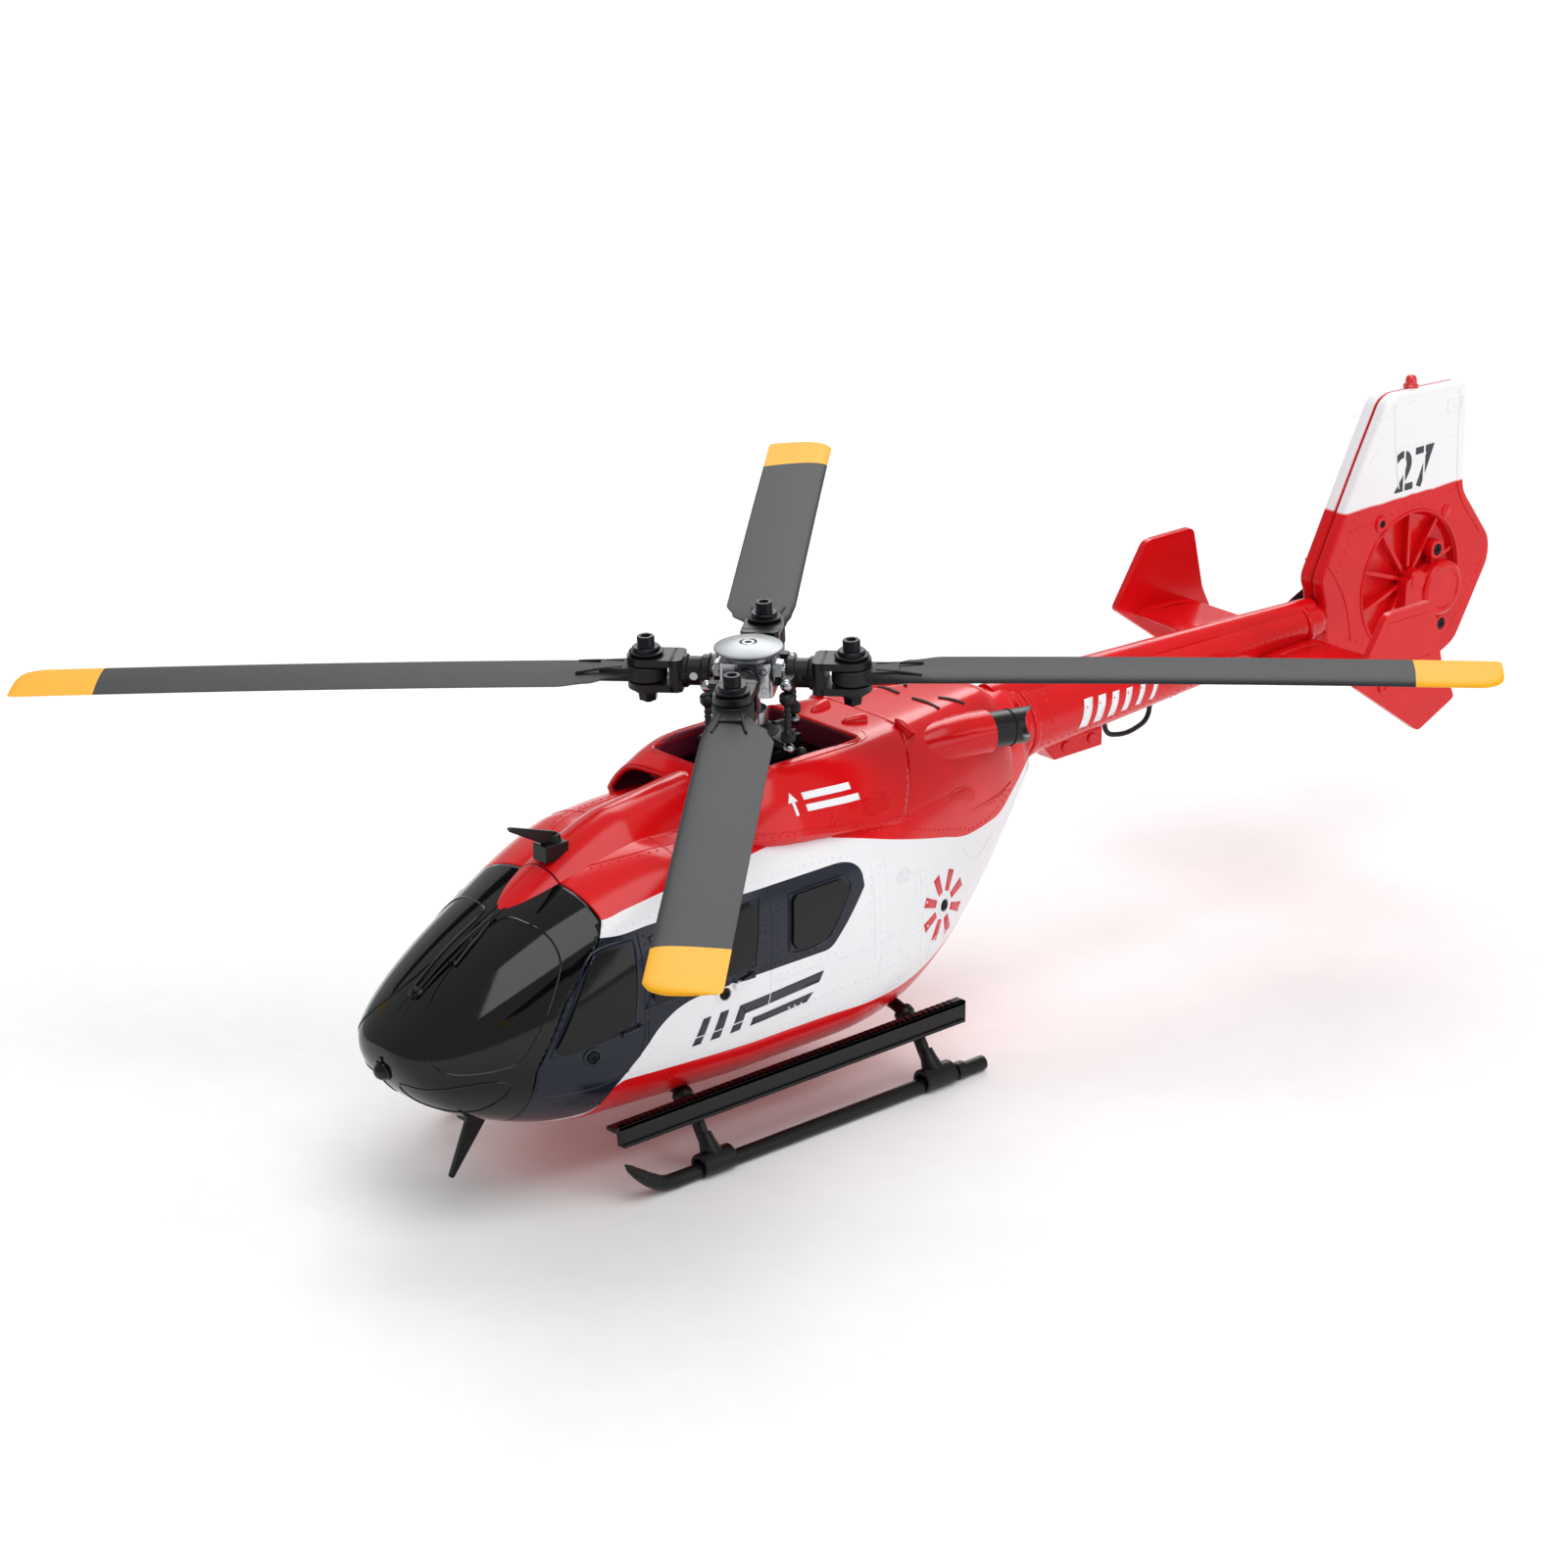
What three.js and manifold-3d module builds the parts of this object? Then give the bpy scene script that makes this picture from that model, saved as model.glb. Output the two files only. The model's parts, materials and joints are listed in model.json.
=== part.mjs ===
// Radio-controlled scale helicopter with a shrouded tail: an assembly of separate solids.
// Millimetres, +Z up, nose towards -Y, port side towards +X, skids standing on z = 0.
import * as THREE from 'three';
import { mergeVertices } from 'three/addons/utils/BufferGeometryUtils.js';
import Module from 'manifold-3d';

const wasm = await Module();
wasm.setup();

// ---------- driving dimensions ----------
const gap = 0.3; // clearance between pieces that touch
const wall = 1.2; // moulded shell thickness
const far = 400; // reach of a cutting block past the model

const noseY = -92; // nose tip, measured from the mast
const noseZ = 34;
const podEnd = 67.5; // where the pod meets the boom
const podHalf = 27; // half the pod's full width
const podTop = 62.5;
const podBottom = 10.4;
const podFlare = 71.5; // length over which the nose grows to full width
const windshieldRun = 56; // length over which the nose grows to full height
const chinRun = 37.5; // length over which the chin drops to the belly
const taperStart = 5; // where the pod starts to narrow to the tail

const seam = [[-53, 80], [-53, 53.5], [-55.7, 49.7], [-64.4, 41], [-70.7, 29], [-71.3, 19], [-71.5, 0]];

const cowlFront = -19; // front of the raised cowl
const cowlSeam = 20; // split between the front and rear cowl
const cowlEnd = 61.5;
const cowlHalf = podHalf - 0.6;
const cowlTop = 74.5; // crown of the cowl's curve before the flat deck cuts it
const deck = 71.6;
const deckRise = 13; // length over which the cowl's front climbs to the deck
const cowlHem = 55.5; // height of the cowl's lower edge
const wellFront = -14.5; // mast well in the cowl's deck
const wellRear = 17.5;
const wellHalf = 13;
const ridgeTip = -63; // tip of the roof ridge, over the windshield
const ridgeHalf = 6.5;
const lowerCutterY = -69; // blade under the chin

const mastTilt = THREE.MathUtils.degToRad(2.7);
const hubZ = 85.4; // height of the blade plane at the mast
const mastR = 1.9;
const mastLength = 50;
const bladeCount = 4;
const firstArm = THREE.MathUtils.degToRad(39.2);
const bladeLag = THREE.MathUtils.degToRad(4);
const bladeDroop = 1.6; // sag of the blade tips
const rotorR = 144;
const boltR = 20; // bolt circle radius
const chord = 13.9;
const bladeThick = 1.9;
const rootThick = 3;
const boltShank = 1;
const hubWidth = 10.5;
const hubHeight = 7;
const capR = 6.75;
const spindleR = 1.1;
const gripR = 3.25;
const gripInner = 7.3; // start of the grip's barrel
const forkHeight = 6.6;
const pitchArm = 7; // pitch horn length, which sets the pitch ratio
const pitchBallOut = 8.2; // distance of the pitch ball along the arm
const ballR = 1.2;
const swashDrop = 14; // swashplate below the blade plane

const boomFront = 63;
const boomRear = 163;
const boomFrontR = 8.2;
const boomRearR = 4;
const boomFrontZ = 57.8;
const boomRearZ = 59.2;
const boomWall = 1;

// The pod's neck closes round the boom.
const neckWall = 0.9;
const podNeck = boomFrontR + gap + neckWall;
const neckTop = boomFrontZ + podNeck;
const neckBottom = boomFrontZ - podNeck;

const finHalf = 3.2; // half thickness of the fin
const ductY = 191.3;
const ductZ = 62.5;
const ductR = 15.2;
const vaneCount = 10;
const motorY = 200.5; // tail motor, set off from the duct's centre
const motorZ = 59.3;
const motorR = 5.8;
const tailRotorR = 29;
const tailRotorX = -11;

const tubeR = 1.5; // skid tube
const tubeSides = 16;
const tubeZ = tubeR * Math.cos(Math.PI / tubeSides); // axis height, so a flat facet meets the ground
const skidHalf = podHalf + 1; // half the skid track
const skidFront = -45;
const skidRear = 37;
const toeLength = 11;
const toeRise = 6.8;
const boardHalf = podHalf - 0.7;
const boardFront = -57;
const boardRear = 33.3;
const boardTop = 15.6;
const boardHeight = 4.4;
const strutYs = { front: -34.4, rear: 24 };

const colours = {
  red: 0xd8141c, white: 0xf2f2f4, gloss: 0x0b0b0d, matt: 0x26272a, blade: 0x3a3c3f,
  silver: 0xc9cbce, motor: 0x55585c, board: 0x1f5b34, cell: 0x2f3f86, lamp: 0xe0202a,
};

// ---------- helpers ----------
function toSolid(geometry) {
  const g = geometry.index ? geometry.toNonIndexed() : geometry.clone();
  g.deleteAttribute('normal');
  g.deleteAttribute('uv');
  const merged = mergeVertices(g, 1e-4);
  return new wasm.Manifold(new wasm.Mesh({
    numProp: 3,
    vertProperties: new Float32Array(merged.attributes.position.array),
    triVerts: new Uint32Array(merged.index.array),
  }));
}

function toMesh(name, shape, colour, roughness = 0.45, metalness = 0) {
  let geometry = shape;
  if (!shape.isBufferGeometry) {
    const made = shape.getMesh();
    geometry = new THREE.BufferGeometry();
    const attribute = new THREE.BufferAttribute(new Float32Array(made.vertProperties), 3);
    geometry.setAttribute('position', attribute);
    geometry.setIndex(new THREE.BufferAttribute(new Uint32Array(made.triVerts), 1));
    geometry.computeVertexNormals();
  }
  const material = new THREE.MeshStandardMaterial({ color: colour, roughness, metalness });
  const mesh = new THREE.Mesh(geometry, material);
  mesh.name = name;
  return mesh;
}

const join = (...solids) => solids.reduce((a, b) => a.add(b));
const cut = (solid, ...tools) => tools.reduce((a, b) => a.subtract(b), solid);

function block(x0, x1, y0, y1, z0, z1) {
  const g = new THREE.BoxGeometry(x1 - x0, y1 - y0, z1 - z0);
  return toSolid(g.translate((x0 + x1) / 2, (y0 + y1) / 2, (z0 + z1) / 2));
}

// A cylinder or cone between two points.
function rod(from, to, r0, r1 = r0, sides = 16) {
  const a = new THREE.Vector3(...from);
  const b = new THREE.Vector3(...to);
  const g = new THREE.CylinderGeometry(r1, r0, a.distanceTo(b), sides);
  const turn = new THREE.Quaternion().setFromUnitVectors(
    new THREE.Vector3(0, 1, 0), b.clone().sub(a).normalize());
  const middle = a.add(b).multiplyScalar(0.5);
  return toSolid(g.applyQuaternion(turn).translate(middle.x, middle.y, middle.z));
}

const ball = (x, y, z, r, sides = 8) => toSolid(new THREE.SphereGeometry(r, sides, 6).translate(x, y, z));

// A turned shape about Z from [radius, height] pairs that start and end on the axis.
function turned(profile, sides = 16) {
  const g = new THREE.LatheGeometry(profile.map(([r, z]) => new THREE.Vector2(r, z)), sides);
  return toSolid(g.rotateX(Math.PI / 2));
}

// A flat outline in (y, z), given its thickness along X.
function plate(points, x0, x1) {
  const shape = new THREE.Shape(points.map(([y, z]) => new THREE.Vector2(y, z)));
  const g = new THREE.ExtrudeGeometry(shape, { depth: x1 - x0, bevelEnabled: false });
  const swap = new THREE.Matrix4().set(0, 0, 1, 0, 1, 0, 0, 0, 0, 1, 0, 0, 0, 0, 0, 1);
  return toSolid(g.applyMatrix4(swap).translate(x0, 0, 0));
}

// A round bar along a curve through the points, with flat facets square to the axes.
function bar(points, radius, steps, sides = 12, straight = false) {
  const corners = points.map((p) => new THREE.Vector3(...p));
  const curve = straight
    ? new THREE.LineCurve3(corners[0], corners[1])
    : new THREE.CatmullRomCurve3(corners, false, 'centripetal');
  const circle = new THREE.Shape();
  for (let i = 0; i < sides; i += 1) {
    const a = (2 * Math.PI * (i + 0.5)) / sides;
    if (i === 0) circle.moveTo(radius * Math.cos(a), radius * Math.sin(a));
    else circle.lineTo(radius * Math.cos(a), radius * Math.sin(a));
  }
  circle.closePath();
  return toSolid(new THREE.ExtrudeGeometry(circle, { steps, extrudePath: curve, bevelEnabled: false }));
}

// A closed skin through rings of equal length, with flat ends.
function skin(rings) {
  const count = rings[0].length;
  const points = rings.flat();
  const faces = [];
  for (let i = 0; i + 1 < rings.length; i += 1) {
    for (let j = 0; j < count; j += 1) {
      const k = (j + 1) % count;
      const a = i * count;
      const b = a + count;
      faces.push(a + j, b + k, a + k, a + j, b + j, b + k);
    }
  }
  [[0, false], [rings.length - 1, true]].forEach(([ring, flip]) => {
    const centre = points.length;
    const sum = rings[ring].reduce((s, p) => s.map((v, axis) => v + p[axis] / count), [0, 0, 0]);
    points.push(sum);
    for (let j = 0; j < count; j += 1) {
      const a = ring * count + j;
      const b = ring * count + ((j + 1) % count);
      faces.push(...(flip ? [centre, b, a] : [centre, a, b]));
    }
  });
  const g = new THREE.BufferGeometry();
  g.setAttribute('position', new THREE.BufferAttribute(new Float32Array(points.flat()), 3));
  g.setIndex(faces);
  return toSolid(g);
}

const share = (v, from, to) => Math.min(1, Math.max(0, (v - from) / (to - from)));
const swell = (s, bend, power) => (1 - (1 - s) ** bend) ** power;

// A ring of a rounded section in the plane y, counter-clockwise seen from the nose.
function section(y, half, bottom, top, middle, sidePower, crownPower, flat, count) {
  return Array.from({ length: count }, (_, i) => {
    const a = (2 * Math.PI * (i + 0.5)) / count;
    const c = Math.cos(a);
    const s = Math.sin(a);
    const x = half * Math.sign(c) * Math.abs(c) ** (2 / sidePower);
    const rise = Math.sign(s) * Math.abs(s) ** (2 / crownPower);
    const z = middle + (rise > 0 ? top - middle : middle - bottom) * rise;
    return [x, y, Math.min(z, flat)];
  });
}

// ---------- the pod ----------
// Half width, bottom, top, widest height and corner powers of the pod at y.
function podAt(y) {
  const tail = share(y, taperStart, podEnd);
  const grown = share(y, noseY, noseY + podFlare);
  const half = podHalf * swell(grown, 1.56, 0.36) - (podHalf - podNeck) * tail ** 1.5;
  const top = noseZ + (podTop - noseZ) * swell(share(y, noseY, noseY + windshieldRun), 1.3, 0.8)
    + (neckTop - podTop) * tail;
  const bottom = noseZ - (noseZ - podBottom) * swell(share(y, noseY, noseY + chinRun), 1.3, 0.43)
    + (neckBottom - podBottom) * tail ** 2.5;
  const middle = noseZ + ((top + bottom) / 2 - noseZ) * 0.75;
  const round = share(y, podEnd - 43, podEnd);
  const side = THREE.MathUtils.lerp(2.2 + 0.7 * grown, 2, round);
  const crown = THREE.MathUtils.lerp(2.3 + 0.5 * grown, 2, round);
  return { half, top, bottom, middle, side, crown };
}

// The pod grown by an offset; a negative offset gives its inside.
function podSolid(offset, rings = 20, count = 28) {
  const start = noseY - offset + 0.02;
  const stations = Array.from({ length: rings }, (_, i) => start + (podEnd - start) * (i / (rings - 1)) ** 1.9);
  return skin(stations.map((y) => {
    const p = podAt(Math.max(y + offset * (1 - share(y, noseY, noseY + 25)), noseY + 0.02));
    const grow = (v) => Math.max(0.05, v + offset);
    const middle = p.middle;
    return section(y, grow(p.half), middle - grow(middle - p.bottom), middle + grow(p.top - middle),
      middle, p.side, p.crown, far, count);
  }));
}

// ---------- the cowl ----------
function cowlAt(y) {
  const tail = share(y, taperStart, podEnd);
  const rise = Math.sin((Math.PI / 2) * share(y, cowlFront, cowlFront + deckRise));
  const half = cowlHalf - 1.6 * (1 - rise) - (cowlHalf - podNeck) * tail ** 1.6;
  const top = cowlTop - 4.2 * (1 - rise) - 4.5 * tail ** 2;
  const flat = deck - 3.6 * (1 - rise) - 1.8 * tail;
  const power = 2.75 - 0.55 * share(y, 5, 50);
  return { half, top, flat, power };
}

function cowlSolid(offset, count = 28) {
  const start = cowlFront - offset;
  const end = cowlEnd + offset;
  const stations = Array.from({ length: 9 }, (_, i) => start + ((end - start) * i) / 8);
  return skin(stations.map((y) => {
    const p = cowlAt(y);
    const base = podAt(Math.min(y, podEnd)).middle;
    return section(y, p.half + offset, base - 12, p.top + offset, base, p.power, p.power, p.flat + offset, count);
  }));
}

// The roof ridge that runs from the cowl forward over the windshield.
function ridgeSolid() {
  const stations = Array.from({ length: 8 }, (_, i) => ridgeTip + ((cowlFront + 2 - ridgeTip) * i) / 7);
  return skin(stations.map((y) => {
    const s = share(y, ridgeTip, cowlFront + 2);
    const half = ridgeHalf * swell(Math.max(s, 0.01), 8, 0.5) * (0.72 + 0.5 * s);
    const top = podAt(y).top + 0.9 + 5.6 * s * swell(Math.max(s, 0.01), 3, 0.5);
    return section(y, half, podAt(y).top - 9, top, podAt(y).top - 4, 2.6, 2.6, far, 16);
  }));
}

function cowls() {
  const shell = cut(cowlSolid(0), cowlSolid(-wall), podSolid(gap),
    block(-far, far, -far, far, -far, cowlHem),
    block(-wellHalf, wellHalf, wellFront, wellRear, cowlHem, far),
    block(-wellHalf + 1.5, wellHalf - 1.5, cowlFront - 2, wellFront + 1, podTop, podTop + 4.2));
  const ridge = cut(ridgeSolid(), podSolid(gap), block(-far, far, wellFront - 2.5, far, 0, far));
  const ridgeSplit = seam[0][0];
  const whole = join(shell, cut(ridge, block(-far, far, -far, ridgeSplit + gap, 0, far)));
  return {
    tip: cut(ridge, block(-far, far, ridgeSplit, far, 0, far)),
    front: cut(whole, block(-far, far, cowlSeam - gap / 2, far, 0, far)),
    rear: cut(shell, block(-far, far, -far, cowlSeam + gap / 2, 0, far), exhaustRod(1, gap), exhaustRod(-1, gap)),
  };
}

// ---------- exhausts ----------
const exhaust = { x: 13.6, y: 45.5, z: 65.2, r: 3.6, length: 15.5, splay: 3.2 };

function exhaustRod(side, grow = 0) {
  const e = exhaust;
  return rod([side * e.x, e.y - grow, e.z], [side * (e.x + e.splay), e.y + e.length + 4 * grow, e.z - 0.6],
    e.r + grow, e.r + grow, 20);
}

function exhaustPipe(side) {
  const e = exhaust;
  const mouth = e.y + e.length;
  const bore = rod([side * (e.x + 0.5), e.y + 2, e.z], [side * (e.x + e.splay + 0.2), mouth + 3, e.z - 0.7],
    e.r - 0.8, e.r - 0.8, 20);
  const slash = block(-20, 20, 0, 30, -20, 20).rotate([0, 0, side * -52])
    .translate([side * (e.x + e.splay + e.r - 0.5), mouth - 6, e.z]);
  return cut(exhaustRod(side), bore, slash);
}

// ---------- fuselage shells ----------
function crossTubePath(y, grow) {
  const half = skidHalf;
  const side = (s) => [
    [s * (half - 0.4), y, tubeR * 2 + gap + 0.6], [s * (half - 2.4), y, 5.4], [s * (half - 5), y, 9.2],
    [s * (half - 8.2), y, 12.6], [s * (half - 13), y, 14.4],
  ];
  return bar([...side(-1), ...side(1).reverse()], 1.25 + grow, 16, 8);
}

function fuselage() {
  const outer = podSolid(0);
  const shell = cut(outer, podSolid(-wall));
  const front = (shift) => plate([[-far, 0], [-far, 80], ...seam].map(([y, z]) => [y > -far ? y + shift : y, z]),
    -far, far);
  const openings = [
    block(-wellHalf + 2, wellHalf - 2, wellFront, wellRear + 4, 50, far),
    rod([0, boomFront - 3, boomFrontZ], [0, podEnd + 6, boomFrontZ + 0.1], boomFrontR + gap, boomFrontR + gap, 32),
    crossTubePath(strutYs.front, gap), crossTubePath(strutYs.rear, gap),
    exhaustRod(1, gap), exhaustRod(-1, gap),
  ];
  const body = cut(shell, front(gap), ...openings);
  return {
    nose: shell.intersect(front(0)),
    left: cut(body, block(-far, gap / 2, -far, far, -far, far)),
    right: cut(body, block(-gap / 2, far, -far, far, -far, far)),
  };
}

function wireCutter(points, thickness) {
  return plate(points, -thickness / 2, thickness / 2);
}

function upperCutter() {
  const z = podAt(-50).top + 3.6;
  const foot = block(-2, 2, -53, -47.5, z, z + 1.2);
  return join(foot, wireCutter([[-51.5, z + 1], [-60, z + 5.6], [-60.4, z + 6.3], [-59.8, z + 6.5], [-49, z + 3],
    [-48, z + 1]], 1));
}

function lowerCutter() {
  const z = podAt(lowerCutterY - 2).bottom - gap;
  return wireCutter([[lowerCutterY - 2.4, z], [lowerCutterY - 7.2, 2.8], [lowerCutterY - 6.6, 2.2],
    [lowerCutterY + 1.8, z - 1.6], [lowerCutterY + 2, z - 1]], 1.2);
}

function noseSensor() {
  const cap = ball(0, noseY + 1.1, 28.6, 2.1, 16);
  return cut(cap, podSolid(0.25));
}

// ---------- inside the pod ----------
const frameFloor = 17.4;
const batteryFront = -71;
const batteryRear = -41;

function mainFrame() {
  const floor = block(-10, 10, -70, 24, frameFloor, frameFloor + 1.6);
  const cheeks = join(block(-10, -8.4, -16, 18, frameFloor, 50), block(8.4, 10, -16, 18, frameFloor, 50));
  const bridge = block(-10, 10, -4.8, 12, 48.4, 50);
  const rear = block(-4, 4, 14, 54, 40, 41.6);
  const crossbar = block(-10, 10, 14, 18, 40, 44);
  const holes = [mastRod(mastR + gap), block(-7, 7, -16.1, -12, 24, 44), block(-7, 7, 14, 18.1, 24, 38)];
  return cut(join(floor, cheeks, bridge, rear, crossbar), ...holes);
}

function mastRod(radius, down = mastLength, up = 1) {
  const s = Math.sin(mastTilt);
  const c = Math.cos(mastTilt);
  return rod([0, s * down, hubZ - c * down], [0, -s * up, hubZ + c * up], radius, radius, 20);
}

function mainMotor() {
  const s = Math.sin(mastTilt);
  const c = Math.cos(mastTilt);
  const at = (d) => [0, s * d, hubZ - c * d];
  const can = rod(at(mastLength + 13), at(mastLength + 1), 7.2, 7.2, 28);
  const boss = rod(at(mastLength + 1), at(mastLength + gap), 3.4, 3, 20);
  return join(can, boss);
}

function battery() {
  return block(-8, 8, batteryFront + 1, batteryRear, frameFloor + 1.6 + gap, frameFloor + 15.5);
}

function flightBoard() {
  return join(block(-8, 8, -38, -19, 20.2, 21.6), block(-5, 5, -34, -25, 21.6, 23.4),
    block(-7, 7, -36, -33, frameFloor + 1.6 + gap, 20.2), block(-7, 7, -24, -21, frameFloor + 1.6 + gap, 20.2));
}

const servoTop = 59;
const servos = [
  { name: 'servo_front', x: -4, y: -12.4 },
  { name: 'servo_left', x: 14, y: 4 },
  { name: 'servo_right', x: -14, y: 4 },
];

function servoBody(s) {
  return join(block(s.x - 2.6, s.x + 2.6, s.y - 4, s.y + 4, 40, servoTop - 8),
    block(s.x - 2.6, s.x + 2.6, s.y - 5.4, s.y + 5.4, servoTop - 10.5, servoTop - 9.3));
}

// ---------- tail boom ----------
function boomPoint(y) {
  return [0, y, THREE.MathUtils.mapLinear(y, boomFront, boomRear, boomFrontZ, boomRearZ)];
}

function boomRadius(y) {
  return THREE.MathUtils.mapLinear(y, boomFront, boomRear, boomFrontR, boomRearR);
}

function tailBoom() {
  const outside = rod(boomPoint(boomFront), boomPoint(boomRear), boomFrontR, boomRearR, 24);
  const inside = rod(boomPoint(boomFront - 1), boomPoint(boomRear + 1), boomRadius(boomFront - 1) - boomWall,
    boomRadius(boomRear + 1) - boomWall, 16);
  return cut(outside, inside);
}

function boomSleeve(grow) {
  return rod(boomPoint(boomFront - 2), boomPoint(boomRear + 20), boomRadius(boomFront - 2) + grow,
    boomRadius(boomRear + 20) + grow, 24);
}

function boomClamp() {
  return cut(block(-2.6, 2.6, 79, 96, 47.5, boomFrontZ), boomSleeve(gap));
}

function handleRail() {
  const y0 = 99;
  const y1 = 113;
  const z0 = boomFrontZ - boomRadius(y0) - 0.5;
  return bar([[0, y0, z0], [0, y0 + 1, z0 - 2.6], [0, y0 + 3, z0 - 3.6], [0, y1 - 3, z0 - 3.4],
    [0, y1 - 1, z0 - 2.2], [0, y1, z0 + 0.6]], 0.55, 14, 6);
}

// ---------- tail fin ----------
const finOutline = [
  [164.5, 52.6], [boomRear + gap, 64.2], [161.6, 68.5], [174.7, 92.8], [181.3, 104.6], [184, 106], [206.5, 104.9],
  [208, 103.5], [208.4, 80], [217.9, 67.6], [218.5, 64.5], [218, 61.3], [208, 45], [203, 42.8], [196, 42.4],
  [188, 43.6], [176, 48.4],
];

function finHalfShell(side) {
  const slab = side > 0 ? [gap / 2, finHalf] : [-finHalf, -gap / 2];
  const half = plate(finOutline, ...slab);
  const socket = rod(boomPoint(boomRear - 4), boomPoint(boomRear + gap), boomRearR + gap + 0.2, boomRearR + gap, 24);
  if (side < 0) {
    const well = rod([-far, ductY, ductZ], [-finHalf + 1.2, ductY, ductZ], ductR, ductR, 32);
    return cut(half, socket, well, tailShaft(gap));
  }
  const duct = rod([finHalf - 2.4, ductY, ductZ], [far, ductY, ductZ], ductR, ductR, 32);
  let ring = cut(half, duct);
  for (let i = 0; i < vaneCount; i += 1) {
    const a = (2 * Math.PI * i) / vaneCount + 0.3;
    const end = [ductY + (ductR + 0.4) * Math.cos(a), ductZ + (ductR + 0.4) * Math.sin(a)];
    const across = [-0.45 * Math.sin(a), 0.45 * Math.cos(a)];
    const vane = plate([[ductY + across[0], ductZ + across[1]], [end[0] + across[0], end[1] + across[1]],
      [end[0] - across[0], end[1] - across[1]], [ductY - across[0], ductZ - across[1]]], finHalf - 2.7, finHalf - 0.5);
    ring = join(ring, vane);
  }
  return cut(ring, socket, rod([-1, motorY, motorZ], [far, motorY, motorZ], motorR + 0.5 + gap, motorR + 0.5 + gap, 24),
    motorMountShape(gap));
}

// The plate that carries the tail motor, with two screw ears.
function motorMountShape(grow) {
  const ears = [[199.2, 68.2], [201.6, 50.6]];
  const arm = plate([[motorY - 12, motorZ - 3 - grow], [motorY - 12, motorZ + 4 + grow], [motorY, motorZ + 5 + grow],
    [motorY, motorZ - 5 - grow]].map(([y, z], i) => [y - (i < 2 ? grow : 0), z]), finHalf - 1.4 - grow, finHalf + 1.6);
  return ears.reduce((shape, [y, z]) => join(shape,
    rod([finHalf - 1.4 - grow, y, z], [finHalf + 1, y, z], 2.2 + grow, 2.2 + grow, 16),
    plate([[y - 1.6 - grow, z], [y + 1.6 + grow, z], [motorY + 1.6 + grow, motorZ], [motorY - 1.6 - grow, motorZ]],
      finHalf - 1.4 - grow, finHalf + 0.4)), arm);
}

function tailMotorCover() {
  const cap = rod([finHalf - 1.4, motorY, motorZ], [finHalf + 2.4, motorY, motorZ], motorR + 0.5, motorR + 0.5, 24);
  return cut(join(motorMountShape(0), cap),
    rod([-1, motorY, motorZ], [finHalf + 1.4, motorY, motorZ], motorR - 0.7, motorR - 0.7, 20));
}

function tailShaft(grow = 0) {
  return rod([tailRotorX + 0.6, ductY, ductZ], [grow - gap / 2, ductY, ductZ], 0.8 + grow, 0.8 + grow, 12);
}

function tailMotor() {
  return rod([finHalf - 1.2, motorY, motorZ], [finHalf + 1.1, motorY, motorZ], motorR - 1, motorR - 1, 24);
}

// A two-blade propeller outside the starboard side, on the shaft through the duct's floor.
function tailRotor() {
  const reach = 1.2;
  const aim = THREE.MathUtils.degToRad(21); // forward blade points down a little
  const blades = [0, Math.PI].map((turn) => {
    const g = new THREE.BoxGeometry(1, 9.4, tailRotorR - 3);
    g.translate(0, 0, (tailRotorR - 3) / 2 + 3);
    const taper = g.attributes.position;
    for (let i = 0; i < taper.count; i += 1) {
      if (taper.getZ(i) < 10) taper.setY(i, taper.getY(i) * 0.45);
    }
    g.rotateZ(0.28).rotateX(Math.PI / 2 + aim + turn).translate(tailRotorX, ductY, ductZ);
    return toSolid(g);
  });
  const boss = rod([tailRotorX - reach - 1, ductY, ductZ], [tailRotorX + reach + 1, ductY, ductZ], 3.2, 3.2, 24);
  return join(boss, ...blades, tailShaft());
}

function beacon() {
  const z = 106.1;
  return turned([[0, z - 0.2], [1.3, z - 0.2], [1.3, z + 1], [1, z + 1.9], [0, z + 2.2]], 16)
    .translate([0, 192.5, 0]);
}

// ---------- stabiliser ----------
function stabiliserHalf(side) {
  const root = side * (boomRadius(145) + 0.4);
  const tip = side * 34;
  const rings = [[root, 140, 162, 55.6, 3], [side * 10, 142, 161, 55.8, 2.6], [tip, 143.5, 160, 56.6, 2.2]]
    .map(([x, y0, y1, z, thick]) => Array.from({ length: 16 }, (_, i) => {
      const a = (2 * Math.PI * i) / 16;
      const y = (y0 + y1) / 2 - ((y1 - y0) / 2) * Math.cos(a);
      return [x, y, z + (thick / 2) * Math.sin(a) * (0.55 + 0.45 * Math.cos(a))];
    }));
  const wing = skin(side > 0 ? rings : rings.reverse());
  const endPlate = plate([[137.2, 58.8], [146, 71.8], [147.4, 72.6], [160.6, 72.5], [161.6, 71.6], [164.8, 58],
    [169.5, 49.2], [158, 44.2]], side > 0 ? 33.6 : -35.2, side > 0 ? 35.2 : -33.6);
  return cut(join(wing, endPlate), boomSleeve(gap));
}

// ---------- landing gear ----------
function skidTube(side) {
  const x = side * skidHalf;
  const tube = bar([[x, skidRear, tubeZ], [x, skidFront, tubeZ]], tubeR, 1, tubeSides, true);
  const toe = plate([[skidFront + 4, 0.1], [skidFront + 4, 2 * tubeR - 0.1], [skidFront - 1.5, 4.2],
    [skidFront - toeLength, toeRise + 1.8], [skidFront - toeLength - 0.6, toeRise + 1.2],
    [skidFront - 5, 2.2], [skidFront - 1, 0.3]], x - 1.1, x + 1.1);
  return join(tube, toe);
}

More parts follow.
